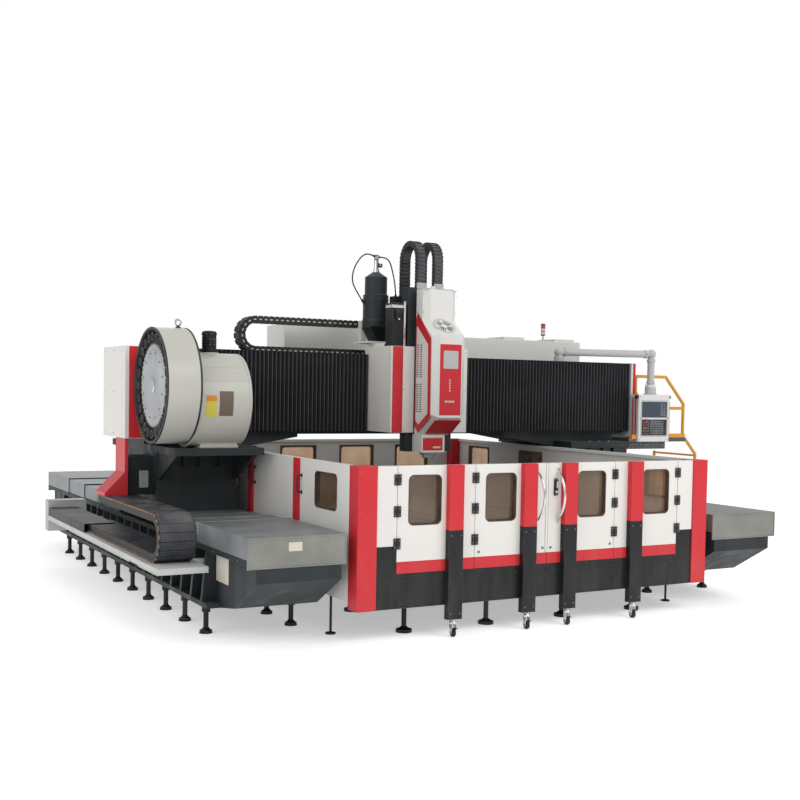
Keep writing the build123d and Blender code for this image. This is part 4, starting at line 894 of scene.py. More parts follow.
def cover_bands():
    """Wiper bands of the telescopic way covers, each on its own cover."""
    front_show = (CARRIAGE_FRONT - COVER_LEN) / 3
    rear_show = (BED_LEN - CARRIAGE_BACK - COVER_LEN) / 3
    bodies = (("base", "base"), ("front_cover_1", "rear_cover_1"), ("front_cover_2", "rear_cover_2"))
    for level, (front_body, rear_body) in enumerate(bodies):
        inset = level * COVER_STEP
        x0, x1, top = BED_IN + inset, BED_OUT - inset, COVER_TOP - inset
        outline = [(x0 - 3, COVER_SKIRT), (x0 - 3, top + 3), (x1 + 3, top + 3), (x1 + 3, COVER_SKIRT),
                   (x1, COVER_SKIRT), (x1, top), (x0, top), (x0, COVER_SKIRT)]
        ends = ((f"front_cover_band_{level}", front_body, level * front_show + COVER_LEN, -1),
                (f"rear_cover_band_{level}", rear_body, BED_LEN - COVER_LEN - level * rear_show, 1))
        for name, body, y, inward in ends:
            piece = Piece(name, body, "cover", guide_steel)
            y0, y1 = sorted((y, y + inward * 22))
            piece.pair(plate(outline, "XZ", y0, y1, 1))
            w0, w1 = sorted((y, y - inward * 5))
            piece.pair(block(x0 + 8, x1 - 8, w0, w1, top - 10.5, top - 1, 1), rubber)
            spots = [(x0 + 45 + i * (x1 - x0 - 90) / 7, y + inward * 11, top + 2) for i in range(8)]
            piece.screws(spots, "Z", 5, 3, PAIR)
            piece.done()


def bed_details():
    """End plates' folds, bare plates, machined edges and jacking pads of the beds."""
    piece = Piece("bed_plates", "base", "steel", plate_steel)
    low, high = PLATE_Z
    for y0, y1 in ((-9, -4), (BED_LEN + 4, BED_LEN + 9)):
        for z0, z1 in ((low, low + 12), (high - 12, high)):
            piece.pair(block(BED_IN + 2, BED_OUT - 2, y0, y1, z0, z1, 1.5))
        for x0 in (BED_IN + 2, BED_OUT - 14):
            piece.pair(block(x0, x0 + 12, y0, y1, low + 12, high - 12, 1.5))
    for y in (-8, BED_LEN + 4):
        spots = [(BED_IN + 40 + i * 153, y, z) for i in range(6) for z in (low + 24, high - 24)]
        piece.screws(spots, "Y", 6, 4, PAIR)
    piece.add(block(-2470, -2355, -7, -4, 800, 870, 1), label_pale)
    piece.add(block(-2739, -2734, 600, 888, 455, 680, 1.5), label_pale)
    piece.pair(block(BED_IN - 2, BED_OUT + 3, 2, BED_LEN - 2, 700, 712, 2), casting)
    piece.pair(block(BED_IN + 60, BED_OUT - 90, 24, 40, 560, 640, 4), black_sheet)
    piece.bolts([(BED_OUT - 2, 180 + i * 565, 722) for i in range(13)], "X", 9, 9, places=PAIR)
    piece.done()


def tray_details():
    """Lids over the rear of the cable tray, its front lip and the box's lid."""
    piece = Piece("tray_lids", "base", "grey", tray_paint)
    lid_out, lid_in = -3312, -3010
    for y in (3080, 3620, 4160):
        piece.add(block(lid_out, lid_in, y, y + 530, 700, 706, 1.5), black_sheet)
        piece.add(block(lid_out, lid_out + 6, y, y + 530, 620, 702, 1.5), black_sheet)
        spots = [(x, y + v, 705) for x in (lid_out + 17, lid_in - 20) for v in (30, 500)]
        piece.screws(spots, "Z", 6, 4)
    for y in (605, 1160, 2000, 2840):
        piece.add(block(-3324, -3318, y + 6, y + 826, 566, 574, 1.5))
    piece.add(block(-3316, -2909, 4696, 4864, 776, 784, 3))
    piece.add(block(-3290, -2935, 4858, 4866, 480, 744, 3))
    piece.screws([(x, 4864, z) for x in (-3275, -2950) for z in (495, 730)], "Y", 6, 5)
    piece.done()


def foot_nuts():
    """Lock nuts and thread ends on the bed's levelling feet."""
    piece = Piece("foot_lock_nuts", "base", "dark", screw_steel)
    spots = [(x, 969 + i * 558, 0) for i in range(10) for x in (BED_OUT - 20, BED_IN + 52)]
    places = [side @ moved(*spot) for side in PAIR for spot in spots]
    piece.add(disc(0, 0, 214, "Z", 30, 18, 2, 6), screw_steel, places)
    piece.add(turned(0, 0, 0, "Z", [(0, 0), (55, 0), (56, 4), (54, 12), (0, 12)], 24), rubber, places)
    piece.done()


# Cable chains

def chain_links(name, routes, width, thick, pitch, mark_low, between, stand_for, mark_finish, cover_finish):
    """Drag chain of side plates, pins and snap-in bars along U-shaped routes.
    A route is (centre of the bend, way to the legs' ends, way from first to second leg, radius, lengths).
    mark_low is where the coloured clips start on the side plates, as a share of half the thickness."""
    piece = Piece(name, None, "plastic", chain_plastic)
    for centre, away, across, radius, first, second in routes:
        centre, away, across = Vector(centre), Vector(away), Vector(across)
        total = first + math.pi * radius + second
        count = round(total / pitch)
        step = total / count
        places = []
        for i in range(count):
            s = (i + 0.5) * step
            if s < first:
                spot, way, out = centre - across * radius + away * (first - s), -away, -across
            elif s > total - second:
                spot, way, out = centre + across * radius + away * (s - total + second), away, across
            else:
                turn = (s - first) / radius
                out = -across * math.cos(turn) - away * math.sin(turn)
                way = across * math.sin(turn) - away * math.cos(turn)
                spot = centre + out * radius
            axes = Matrix((way, out.cross(way), out)).transposed().to_4x4()
            places.append(Matrix.Translation(spot) @ axes)
        half, rim, reach = width / 2, thick / 2, step / 2
        upper = [(reach + 1, rim * 0.5), (reach * 0.75, rim), (-reach * 0.6, rim), (-reach - 2, rim * 0.55)]
        cheek = [(x, -z) for x, z in upper[::-1]] + upper
        for y0, y1 in ((-half, -half + 9), (half - 9, half)):
            piece.add(plate(cheek, "XZ", y0, y1, 1.2), chain_plastic, places)
        for y0 in (-half - 0.5, half - 2.5):
            piece.add(disc(reach * 0.2, y0, 0, "Y", rim * 0.42, 3, 0, 10), chain_plastic, places)
        scale = [(-reach * 1.2, rim - 9), (reach * 0.9, rim - 1), (reach, rim - 3), (reach, rim - 7),
                 (-reach * 1.1, rim - 14)]
        piece.add(plate(scale, "XZ", -half + 8, half - 8, 0), cover_finish, places)
        inner = block(-reach * 0.82, reach * 0.82, -half + 8, half - 8, -rim + 0.5, -rim + 6, 1.5)
        piece.add(inner, cover_finish, places)
        for y0 in (-half - 1.5, half - 1.5):
            mark = block(-reach * 0.5, reach * 0.4, y0, y0 + 3, rim * mark_low, rim * (mark_low + 0.26), 0.8)
            piece.add(mark, mark_finish, places)
    piece.done([stand_for], between)


def cable_chains():
    """Chains of the bed, the beam and the ram."""
    chain_links("bed_chain_links", [((-3106, 971, 826), (0, 1, 0), (0, 0, 1), 168.5, 2429, 1769)],
                312, 75, 64, 0.55, ("base", "gantry", at(0, 0, 700), at(0, 0, 955)), "bed_chain",
                link_bar, link_cover)
    chain_links("beam_chain_links", [((-1641.5, 2900, 2612.5), (1, 0, 0), (0, 0, 1), 155, 1251, 1161)],
                150, 75, 60, -0.13, ("gantry", "saddle", at(0, 0, 2496), at(0, 0, 2729)), "beam_chain",
                link_cream, chain_plastic)
    routes = [((x, 2223, 3423), (0, 0, -1), (0, -1, 0), 165, 375, 303) for x in RAM_CHAINS_X]
    chain_links("ram_chain_links", routes, 104, 56, 38, 0.5,
                ("saddle", "ram", at(0, 2359, 0), at(0, 2087, 0)), "ram_chains", link_cover, link_cover)


# Bellows

def bellows(side, beam_end, saddle_end):
    """Pleated apron with its folded top and bottom edges."""
    piece = Piece(f"{side}_bellows_folds", None, "fabric", cloth)
    x0, x1 = sorted((beam_end, saddle_end))
    crest, valley = FOLD_Y
    count = round((x1 - x0) / FOLD_PITCH)
    step = (x1 - x0) / count
    folds = []
    for i in range(count):
        u = x0 + i * step
        folds += [(u, valley), (u + step * 0.42, crest), (u + step * 0.58, crest)]
    folds.append((x1, valley))
    hem_folds = [(u, valley - 9 if v == valley else crest - 3) for u, v in folds]
    back = [(x1, BELLOWS_Y[1]), (x0, BELLOWS_Y[1])]
    low, high = BELLOWS_Z
    piece.add(plate(folds + back, "XY", low + HEM, high - HEM, 0))
    for z0 in (low, high - HEM):
        piece.add(plate(hem_folds + back, "XY", z0, z0 + HEM, 0), plastic)
    between = ("gantry", "saddle", at(beam_end, 0, 0), at(saddle_end, 0, 0))
    piece.done([f"{side}_bellows"], between, 20)


def beam_covers():
    """Bellows on both sides of the saddle."""
    bellows("left", BEAM_LEFT, SADDLE_X[0])
    bellows("right", BEAM_RIGHT, SADDLE_X[1])


# Tool magazine

def pocket_disc():
    """Disc of the magazine with its sockets, toothed hub plate and cap."""
    piece = Piece("pocket_disc", "magazine_disc", "steel", plastic)
    back = MAG_X[0] + 60
    rim = [(0, 22), (498, 22), (498, 4), (494, 0), (384, 0), (380, 4), (0, 4)]
    piece.add(turned(back - 22, MAG_Y, MAG_Z, "X", rim, 72))
    cup = [(0, 30), (14, 30), (25, 9), (33, 5), (41, 5), (44, 9), (44, 30), (44, 52), (0, 52)]
    sockets = [moved(0, u, v) for u, v in circle(0, 0, 440, 24)]
    piece.add(turned(back - 52, MAG_Y, MAG_Z, "X", cup, 20), plastic, sockets)
    piece.bolts([(back - 26, MAG_Y + 61, MAG_Z)], "X", 5, 6, 1, sockets[6:7])
    teeth, root, tip = 48, 362, 377
    outline = []
    for i in range(teeth):
        for part, radius in ((0, root), (0.28, root), (0.36, tip), (0.72, tip), (0.8, root)):
            angle = math.radians((i + part) * 360 / teeth)
            outline.append((MAG_Y + radius * math.cos(angle), MAG_Z + radius * math.sin(angle)))
    piece.add(plate(outline, "YZ", back - 34, back - 21, 0), disc_steel)
    hub = [(0, 0), (322, 0), (326, 3), (326, 6), (0, 6)]
    piece.add(turned(back - 38, MAG_Y, MAG_Z, "X", hub, 64), disc_steel)
    cap = [(0, 0), (58, 0), (66, 6), (66, 14), (0, 14)]
    piece.add(turned(back - 50, MAG_Y, MAG_Z, "X", cap, 36), chrome)
    piece.bolts([(back - 45, y, z) for y, z in circle(MAG_Y, MAG_Z, 296, 12, 15)], "X", 9, 8)
    piece.done(["tool_disc"])


def curved_label(x0, x1, low, high, out):
    """Bare plate bent round the housing, between two heights on its front."""
    first, last = (math.asin((z - HOUSING_Z) / HOUSING_R) for z in (low, high))
    outer, inner = [], []
    for i in range(9):
        angle = first + (last - first) * i / 8
        for radius, points in ((HOUSING_R + out, outer), (HOUSING_R - 2, inner)):
            points.append((MAG_Y - radius * math.cos(angle), HOUSING_Z + radius * math.sin(angle)))
    return plate(outer + inner[::-1], "YZ", x0, x1, 0)


def magazine_details():
    """Rims, seams, bare plates, fixing bolts, drive motor and lifting eye of the magazine, and a black liner
    of painted shade inside the front rim.
    """
    piece = Piece("magazine_fittings", "gantry", "grey", drum_paint)
    x0, x1 = MAG_X
    # The front rim is black; its sleeve from 501 to 512 mm out, reaching 57 mm into the drum, is painted
    # shade darkening the drum's recess.
    rim = [(501, 57), (501, 2), (504, -3), (525, -3), (527, 0), (527, 9), (520, 9), (512, 30), (512, 57)]
    piece.add(turned(x0, MAG_Y, MAG_Z, "X", rim + rim[:1], 72), plastic)
    piece.add(turned(x1 - 14, MAG_Y, MAG_Z, "X", [(0, 0), (529, 0), (529, 16), (0, 16)], 72), plastic)
    for x in (x1 + 6, HOUSING_RIGHT - 26):
        piece.add(turned(x, MAG_Y, HOUSING_Z, "X", [(0, 0), (434, 0), (434, 18), (0, 18)], 64))
    end = HOUSING_RIGHT - 2
    piece.add(turned(end, MAG_Y, HOUSING_Z, "X", [(0, 0), (200, 0), (196, 6), (150, 8), (0, 8)], 48))
    piece.bolts([(end, y, z) for y, z in circle(MAG_Y, HOUSING_Z, 380, 12, 15)], "X", 9, 8)
    piece.add(curved_label(-2625, -2525, 1800, 1940, 2), label_yellow)
    piece.add(curved_label(-2625, -2525, 1942, 1990, 2), label_orange)
    piece.add(curved_label(-2500, -2370, 1810, 2030, 2), label_brown)
    for z in (1560, 1700, 2120, 2240):
        piece.add(curved_label(-2680, -2220, z, z + 5, 1.5))
    piece.add(block(-2600, -2230, 1750, 2130, CARRIAGE_TOP, CARRIAGE_TOP + 22, 4, 2))
    spots = [(x, y, CARRIAGE_TOP + 20) for x in (-2575, -2415, -2255) for y in (1775, 2105)]
    piece.screws(spots, "Z", 14, 12)
    crown = HOUSING_Z + HOUSING_R
    foot = [(0, 0), (92, 0), (92, 30), (86, 36), (0, 36)]
    piece.add(turned(MOTOR_X, MAG_Y, crown - 30, "Z", foot, 40))
    boss = [(0, 0), (30, 0), (30, 10), (16, 20), (12, 30), (0, 30)]
    piece.add(turned(EYE_X, MAG_Y, MAG_Z + MAG_R - 6, "Z", boss, 24), plastic)
    wire = circle(26, 0, 10, 8)
    piece.add(turned(EYE_X, MAG_Y, MAG_Z + MAG_R + 52, "Y", wire + wire[:1], 28), chrome)
    piece.done()
    motor = Piece("magazine_motor_ribs", "gantry", "dark", black_sheet)
    x, y, low = MOTOR_X, MAG_Y, crown + 8
    profile = [(0, 0), (76, 0), (76, 14), (64, 16)]
    for i in range(7):
        z = 24 + i * 18
        profile += [(64, z), (70, z + 2), (70, z + 7), (64, z + 9)]
    profile += [(64, 156), (70, 158), (70, 176), (60, 192), (34, 199), (0, 200)]
    motor.add(turned(x, y, low, "Z", profile, 40))
    motor.add(block(x - 30, x + 30, y - 84, y - 60, low + 60, low + 130, 4, 2))
    motor.add(disc(x, y - 72, low + 46, "Z", 9, 16, 1.5, 12), plastic)
    motor.screws([(x + u, y - 86, low + v) for u in (-22, 22) for v in (68, 122)], "Y", 4, 3)
    motor.done(["magazine_motor"])


# Gantry covers, cabinet and platform

def end_details():
    """Red front trims, side panels and screws of the beam's ends, and the beam's rear covers and clamps."""
    piece = Piece("beam_end_fittings", "gantry", "red", red)
    low, high = END_Z[0] + 4, END_Z[1] - 4
    piece.add(block(-3047, -2912, END_FRONT - 4, END_FRONT + 2, low, high, 2))
    piece.add(block(3046, 3082, END_FRONT - 4, END_FRONT + 60, low, high, 2))
    side = BEAM_HALF
    for y0, y1 in ((2566, 2880), (2886, 3224)):
        piece.pair(block(side - 2, side + 4, y0, y1, low + 2, high - 2, 2), white)
        spots = [(side + 3, y, z) for y in (y0 + 20, y1 - 20) for z in screw_heights(END_Z)]
        piece.screws(spots, "X", 6, 3, PAIR)
    piece.pair(block(side - 3, side + 3, END_FRONT + 2, 2560, low, high, 1.5), white)
    piece.done()
    beam = Piece("beam_rear_covers", "gantry", "dark", casting)
    for i in range(3):
        x = -2800 + i * 560
        beam.add(plate(rounded(x, x + 470, 1760, 2300, 40), "XZ", BEAM_BACK - 2, BEAM_BACK + 14, 3))
        spots = [(x + u, BEAM_BACK + 12, z) for u in (30, 235, 440) for z in (1790, 2270)]
        beam.screws(spots, "Y", 12, 8)
    y0, y1 = BEAM_FRONT + 40, BEAM_BACK - 40
    for x in (-2600, -2000, 1400, 2000, 2600):
        beam.add(block(x - 30, x + 30, y0, y1, BEAM_TOP - 2, BEAM_TOP + 10, 3))
        beam.screws([(x, y, BEAM_TOP + 8) for y in (2700, 2820, 3080, 3200)], "Z", 11, 8)
    spots = [(x, CARRIAGE_FRONT + 34, CARRIAGE_TOP - 4) for x in (2280, 2420, 2560)]
    beam.bolts(spots, "Z", 20, 14, 2, PAIR)
    beam.done()


def cabinet_details():
    """Doors with vents, locks and hinges, and the lids, seams and screws of the rear cabinet."""
    piece = Piece("cabinet_doors", "gantry", "white", white)
    x0, x1 = CABINET_X
    front, back = CABINET_Y
    z0, z1 = CABINET_Z
    doors = 5
    width = (x1 - x0 - 40) / doors
    for i in range(doors):
        left = x0 + 20 + i * width
        right = left + width
        leaf = rounded(left + 8, right - 8, z0 + 40, z1 - 40, 12)
        piece.add(plate(leaf, "XZ", back - 2, back + 14, 3, 2))
        piece.add(ring(rounded(left + 4, right - 4, z0 + 36, z1 - 36, 14),
                       rounded(left + 12, right - 12, z0 + 44, z1 - 44, 10), "XZ", back - 1,
                       back + 3, 1), rubber)
        for j in range(14):
            z = z0 + 130 + j * 22
            # Painted shade: a black strip behind each slat stands for the dark inside of the vent.
            piece.add(block(left + 180, right - 180, back + 13, back + 15, z, z + 8, 0.5), plastic)
            piece.add(block(left + 176, right - 176, back + 13, back + 22, z + 9, z + 12, 1))
        lock = right - 60
        handle = rounded(lock - 16, lock + 16, 2120, 2260, 10)
        piece.add(plate(handle, "XZ", back + 12, back + 22, 2), plastic)
        piece.add(disc(lock, back + 18, 2150, "Y", 10, 10, 2, 20), chrome)
        for z in (z0 + 160, z1 - 160):
            for part in (-34, 2):
                piece.add(disc(left + 8, back + 10, z + part, "Z", 9, 32, 1.5, 14), chrome)
    for x in (430, 1770, 2530):
        piece.add(block(x - 4, x + 294, front + 56, back - 56, z1 + 26, z1 + 38, 3, 2))
        for y in (front + 130, back - 130):
            piece.add(block(x - 8, x - 1, y - 20, y + 20, z1 + 4, z1 + 34, 2), chrome)
        near, far, z = x + 286, x + 306, z1 + 14
        y0, y1 = front + 200, back - 200
        grip = bent([(near, y0, z), (far, y0, z), (far, y1, z), (near, y1, z)], 8)
        piece.add(bar(grip, 5), chrome)
    for i in range(1, doors):
        x = x0 + i * (x1 - x0) / doors
        piece.add(block(x - 3, x + 3, front + 4, back - 4, z1 - 1, z1 + 4, 1), plastic)
    piece.add(block(x0 - 4, x1 + 4, front + 10, front + 26, z1 - 4, z1 + 6, 2))
    for x, outward in ((x0, -1), (x1, 1)):
        for j in range(12):
            z = 1900 + j * 26
            # Painted shade: the black slot behind each slat stands for the dark inside of the side vent.
            slot = sorted((x - outward, x + outward * 2))
            piece.add(block(*slot, front + 140, back - 120, z, z + 9, 0.5), plastic)
            slat = sorted((x, x + outward * 10))
            piece.add(block(*slat, front + 136, back - 116, z + 10, z + 13, 1))
    piece.screws([(x0 + 120 + i * 240, front + 40, z1 - 2) for i in range(16)], "Z", 7, 4)
    piece.done()


def signal_tower():
    """Three lenses between dark rings on a bright pole."""
    light = Piece("signal_tower", "gantry", "red", plastic)
    x, y, low = 2480, 3550, CABINET_Z[1]
    pole = [(0, 0), (38, 0), (38, 10), (28, 15), (15, 22), (11, 24), (11, 84), (0, 84)]
    cup = [(0, 0), (24, 0), (29, 6), (29, 14), (0, 14)]
    lens = [(0, 0), (27, 0), (28, 3), (28, 35), (27, 38), (0, 38)]
    cap = [(0, 0), (29, 0), (28, 8), (18, 14), (0, 14)]
    light.add(turned(x, y, low, "Z", pole, 28), chrome)
    light.add(turned(x, y, low + 84, "Z", cup, 28))
    for i, finish in enumerate((label_pale, label_pale, lamp_red)):
        z = low + 98 + i * 42
        light.add(turned(x, y, z, "Z", lens, 28), finish)
        light.add(disc(x, y, z + 37, "Z", 30, 6, 1, 28))
    light.add(turned(x, y, low + 222, "Z", cap, 28))
    light.done(["signal_lamp"])


def platform_details():
    """Toe boards, bearer bolts, side strips and deck ribs of the platform, and the plate on the column."""
    piece = Piece("platform_fittings", "gantry", "yellow", yellow)
    x0, x1 = 3122, 4038
    front, back = 2622, 3418
    deck = 1540
    for y in (front, back - 6):
        piece.add(block(x0 + 4, x1 - 4, y, y + 6, deck, deck + 50, 1.5))
    spots = [(x, y, deck - 95) for y in (2652, 2708, 3112, 3168) for x in (3180, 3440, 3700)]
    piece.bolts(spots, "Y", 12, 10, 2)
    for y in (front + 2, back - 8):
        piece.add(block(x0, x1, y, y + 6, deck - 48, deck - 2, 1.5), black_sheet)
    for i in range(11):
        x = x0 + 28 + i * 84
        piece.add(block(x, x + 6, front + 10, back - 10, deck - 2, deck + 3, 1), black_sheet)
    piece.done()
    plates = Piece("column_fittings", "gantry", "dark", plate_steel)
    face = CARRIAGE_FRONT
    x0, x1, z0, z1 = -3000, -2915, 1120, 1280
    plates.add(plate(rounded(x0, x1, z0, z1, 8), "XZ", face - 8, face - 2, 1))
    plates.screws([(x, face - 10, z) for x in (x0 + 10, x1 - 10) for z in (z0 + 12, z1 - 12)], "Y", 4, 3)
    plates.done()


# Pendant

def arm_details():
    """Collars, pinch screws and foot flange of the pendant's arm."""
    arm = Piece("pendant_arm_collars", "pendant_arm", "grey", pendant_grey)
    start = Vector((*ARM_START, 0))
    reach = Vector((*PENDANT, 0)) - start
    lie = moved(*ARM_START, ARM_Z) @ Matrix.Rotation(math.atan2(reach.y, reach.x), 4, "Z")
    collar = [(0, 0), (46, 0), (51, 4), (51, 30), (46, 34), (0, 34)]
    for along in (58, reach.length - 92):
        arm.add(turned(along, 0, 0, "X", collar, 32), pendant_grey, (lie,))
        arm.bolts([(along + 17, -54, 0)], "Y", 7, 6, 1, (lie,))
    for x, y, low in ((*ARM_START, 2424), (*PENDANT, 2455), (*PENDANT, 2196)):
        arm.add(turned(x, y, low, "Z", collar, 32))
    flange = [(0, 0), (74, 0), (74, 10), (60, 14), (0, 14)]
    arm.add(turned(*ARM_START, 2421, "Z", flange, 36))
    arm.bolts([(x, y, 2430) for x, y in circle(*ARM_START, 66, 6)], "Z", 6, 6, 1)
    arm.done()


def pendant_details():
    """Frame, screen, keys, buttons, side strips, grips, collar and rear cover of the pendant's box."""
    box = Piece("pendant_panel", "pendant_box", "white", white_gloss)
    front, back, left, right = 2245, 2415, 2950, 3430
    frame_left, frame_right = left + 30, right - 34
    pane_left, pane_right = left + 46, right - 50
    box.add(ring(rounded(frame_left, frame_right, 1570, 2000, 14),
                 rounded(frame_left + 14, frame_right - 14, 1584, 1986, 8), "XZ", front - 4, front + 1, 1),
            pendant_grey)
    box.add(block(pane_left, pane_right, front - 3, front + 1, 1798, 1984, 1.5), screen)
    box.add(block(pane_left, pane_right, front - 3, front + 1, 1586, 1774, 1.5), plastic)
    box.add(block(frame_left, frame_right, front - 4, front + 1, 1779, 1793, 1.5))
    box.add(block(left + 60, right - 182, front - 4, front - 2, 1812, 1970, 1), screen)
    keys = [(right - 150 + j * 42, 1816 + i * 26, 32, 18) for i in range(6) for j in range(2)]
    keys += [(left + 176 + i * 23, 1600 + j * 28, 17, 20) for i in range(9) for j in range(6)]
    for x, z, wide, high in keys:
        box.add(block(x, x + wide, front - 6, front - 2, z, z + high, 1.5), key_grey)
    push = [(0, 0), (8, 0), (10, 2), (10, 7), (0, 7)]
    for j, accent in enumerate((red, key_grey, label_orange, red, key_grey)):
        for i, finish in enumerate((accent, accent, key_grey)):
            box.add(turned(left + 74 + i * 34, front - 9, 1606 + j * 33, "Y", push, 16), finish)
    stop_button = [(0, 0), (12, 0), (17, 4), (17, 9), (9, 10), (9, 18), (0, 18)]
    box.add(turned(left + 108, front - 18, 1764, "Y", stop_button, 20), red)
    spots = [(x, front - 3, z) for x in (left + 20, right - 20) for z in (1535, 1790, 2045)]
    box.screws(spots, "Y", 6, 4)
    for x, outward in ((left - 3, -1), (right + 3, 1)):
        box.add(block(*sorted((x, x - 4 * outward)), front + 20, back - 20, 1540, 2040, 2), pendant_grey)
        for y in (front + 44, front + 96):
            box.add(block(*sorted((x, x + 2 * outward)), y, y + 22, 1552, 2028, 1), red)
    box.add(block(right, right + 18, front + 20, front + 34, 1560, 1990, 3), red)
    for x in (left - 22, right - 6):
        box.add(block(x, x + 28, front + 10, front + 60, 2022, 2062, 6, 3), plastic)
    box.add(block(left - 70, left - 2, front + 30, front + 90, 1540, 1592, 6, 2), yellow)
    collar = [(0, 0), (84, 0), (84, 8), (70, 16), (66, 16), (66, 90), (0, 90)]
    box.add(turned(*PENDANT, 2066, "Z", collar, 36), pendant_grey)
    for i in range(10):
        x = left + 130 + i * 24
        box.add(block(x, x + 10, back - 2, back + 2, 1700, 1860, 1), plastic)
    box.add(plate(rounded(left + 60, right - 60, 1580, 2000, 20), "XZ", back - 1, back + 3, 1))
    box.done()


# Saddle, head and spindle

def chain_brackets(piece, finish, y_limits, z_limits, screw_y, screw_zs):
    """Brackets that hold one end of each ram chain."""
    for x in RAM_CHAINS_X:
        piece.add(block(x - 56, x + 56, *y_limits, *z_limits, 2), finish)
        piece.screws([(x + u, screw_y, z) for u in (-36, 36) for z in screw_zs], "Y", 6, 5)


def saddle_details():
    """Red stripe, front and side panels, z drive, the chain masts' plates and the chain brackets."""
    piece = Piece("saddle_fittings", "saddle", "red", red)
    x0, x1 = SADDLE_X
    low, high = SADDLE_Z[0] + 3, SADDLE_Z[1] - 3
    heights = screw_heights(SADDLE_Z)
    face = SADDLE_FRONT
    piece.add(block(-497, -380, face - 5, face + 2, low, high, 1.5))
    for a, b in ((x0, -499), (-378, HEAD_X[0] - 6), (HEAD_X[1] + 6, x1)):
        piece.add(block(a, b, face - 4, face + 2, low, high, 2), white)
    for a, screw_x in ((x0 - 4, x0 - 4), (x1 - 2, x1 + 1)):
        piece.add(block(a, a + 6, face, face + 210, low, high, 2), white)
        piece.add(block(a, a + 6, face + 216, 2470, low, high, 2), white)
        piece.screws([(screw_x, y, z) for y in (2020, 2190, 2236, 2450) for z in heights], "X", 6, 3)
    piece.screws([(x, face - 6, z) for x in (-365, 370) for z in heights], "Y", 6, 3)
    foot, top = 2516, 2932
    x, y, half = -420, 2095, 83
    piece.add(block(x - half, x + half, y - half, y + half, foot, foot + 22, 3), black_sheet)
    half = 79
    piece.add(block(x - half, x + half, y - half, y + half, top - 34, top + 20, 8, 3), chrome)
    for rib_y in (y - 60, y - 20, y + 20, y + 60):
        piece.add(block(x - half, x - half + 6, rib_y - 6, rib_y + 6, foot + 40, foot + 240, 2), black_sheet)
    piece.add(block(-470, -380, 2000, 2022, foot + 280, foot + 370, 5, 2), black_sheet)
    piece.add(disc(-425, 2010, foot + 262, "Z", 12, 20, 2, 14), chrome)
    piece.add(block(-370, -350, 2006, 2016, foot, 2970, 1.5), chrome)
    gusset = [(-535, 2732), (-330, 2732), (-330, 2517), (-410, 2517)]
    piece.add(plate(gusset, "XZ", 2448, 2460, 3), black_sheet)
    piece.add(block(-325, -272, 2136, 2156, foot, 2960, 3), plate_steel)
    piece.screws([(-298, 2133, z) for z in (2560, 2700, 2850, 2930)], "Y", 8, 5)
    for x in (-186, 66):
        piece.add(block(x - 7, x + 7, 2193, 2210, 2556, 2960, 2), black_sheet)
        piece.screws([(x, 2190, 2600 + i * 80) for i in range(5)], "Y", 5, 4)
    piece.add(block(-316, 116, 2334, 2446, 2964, 2974, 2), black_sheet)
    chain_brackets(piece, plate_steel, (2410, 2422), (2990, 3060), 2420, (3006, 3040))
    piece.done()


def bottle_details():
    """Clamps, shoulder, valve with its knob, and foot of the gas bottle."""
    x, y = BOTTLE
    piece = Piece("bottle_valve_and_straps", "saddle", "dark", bottle_paint)
    for z in (2790, 3000):
        piece.add(turned(x, y, z, "Z", [(0, 0), (138, 0), (138, 24), (0, 24)], 48), plastic)
        piece.add(block(x - 12, x + 12, y - 146, y - 134, z - 2, z + 26, 2), plastic)
    shoulder = [(0, 0), (135, 0), (134, 6), (119, 16), (119, 20), (0, 20)]
    piece.add(turned(x, y, 3060, "Z", shoulder, 48))
    stem = [(0, 0), (38, 0), (38, 14), (30, 20), (30, 42), (23, 48), (23, 96), (27, 100), (27, 118),
            (21, 124), (21, 132), (0, 132)]
    piece.add(turned(x, y, VALVE_TOP - 182, "Z", stem, 32), chrome)
    nut = [(0, 0), (27, 2), (28, 8), (28, 38), (22, 47), (0, 49)]
    piece.add(turned(x, y, VALVE_TOP - 48, "Z", nut, 8), chrome)
    knob_z = VALVE_TOP - 105
    knob = []
    for i in range(24):
        radius = 26 if i % 4 < 2 else 22
        angle = math.radians(i * 15)
        knob.append((y + radius * math.cos(angle), knob_z + radius * math.sin(angle)))
    piece.add(plate(knob, "YZ", x + 24, x + 63, 2), chrome)
    piece.add(disc(x + 18, y, knob_z, "X", 12, 8, 1, 20), chrome)
    foot = [(0, 0), (72, 0), (72, 10), (96, 60), (0, 60)]
    piece.add(turned(x - 1, y, 2574, "Z", foot, 36), plastic)
    piece.done()


HEX_OUTER = [(1978, 2800), (1945, 2857), (1675, 2591), (1668, 1800), (1910, 1640), (1978, 1700)]
HEX_INNER = [(1968, 2715), (1952, 2722), (1730, 2530), (1722, 1838), (1905, 1722), (1968, 1765)]


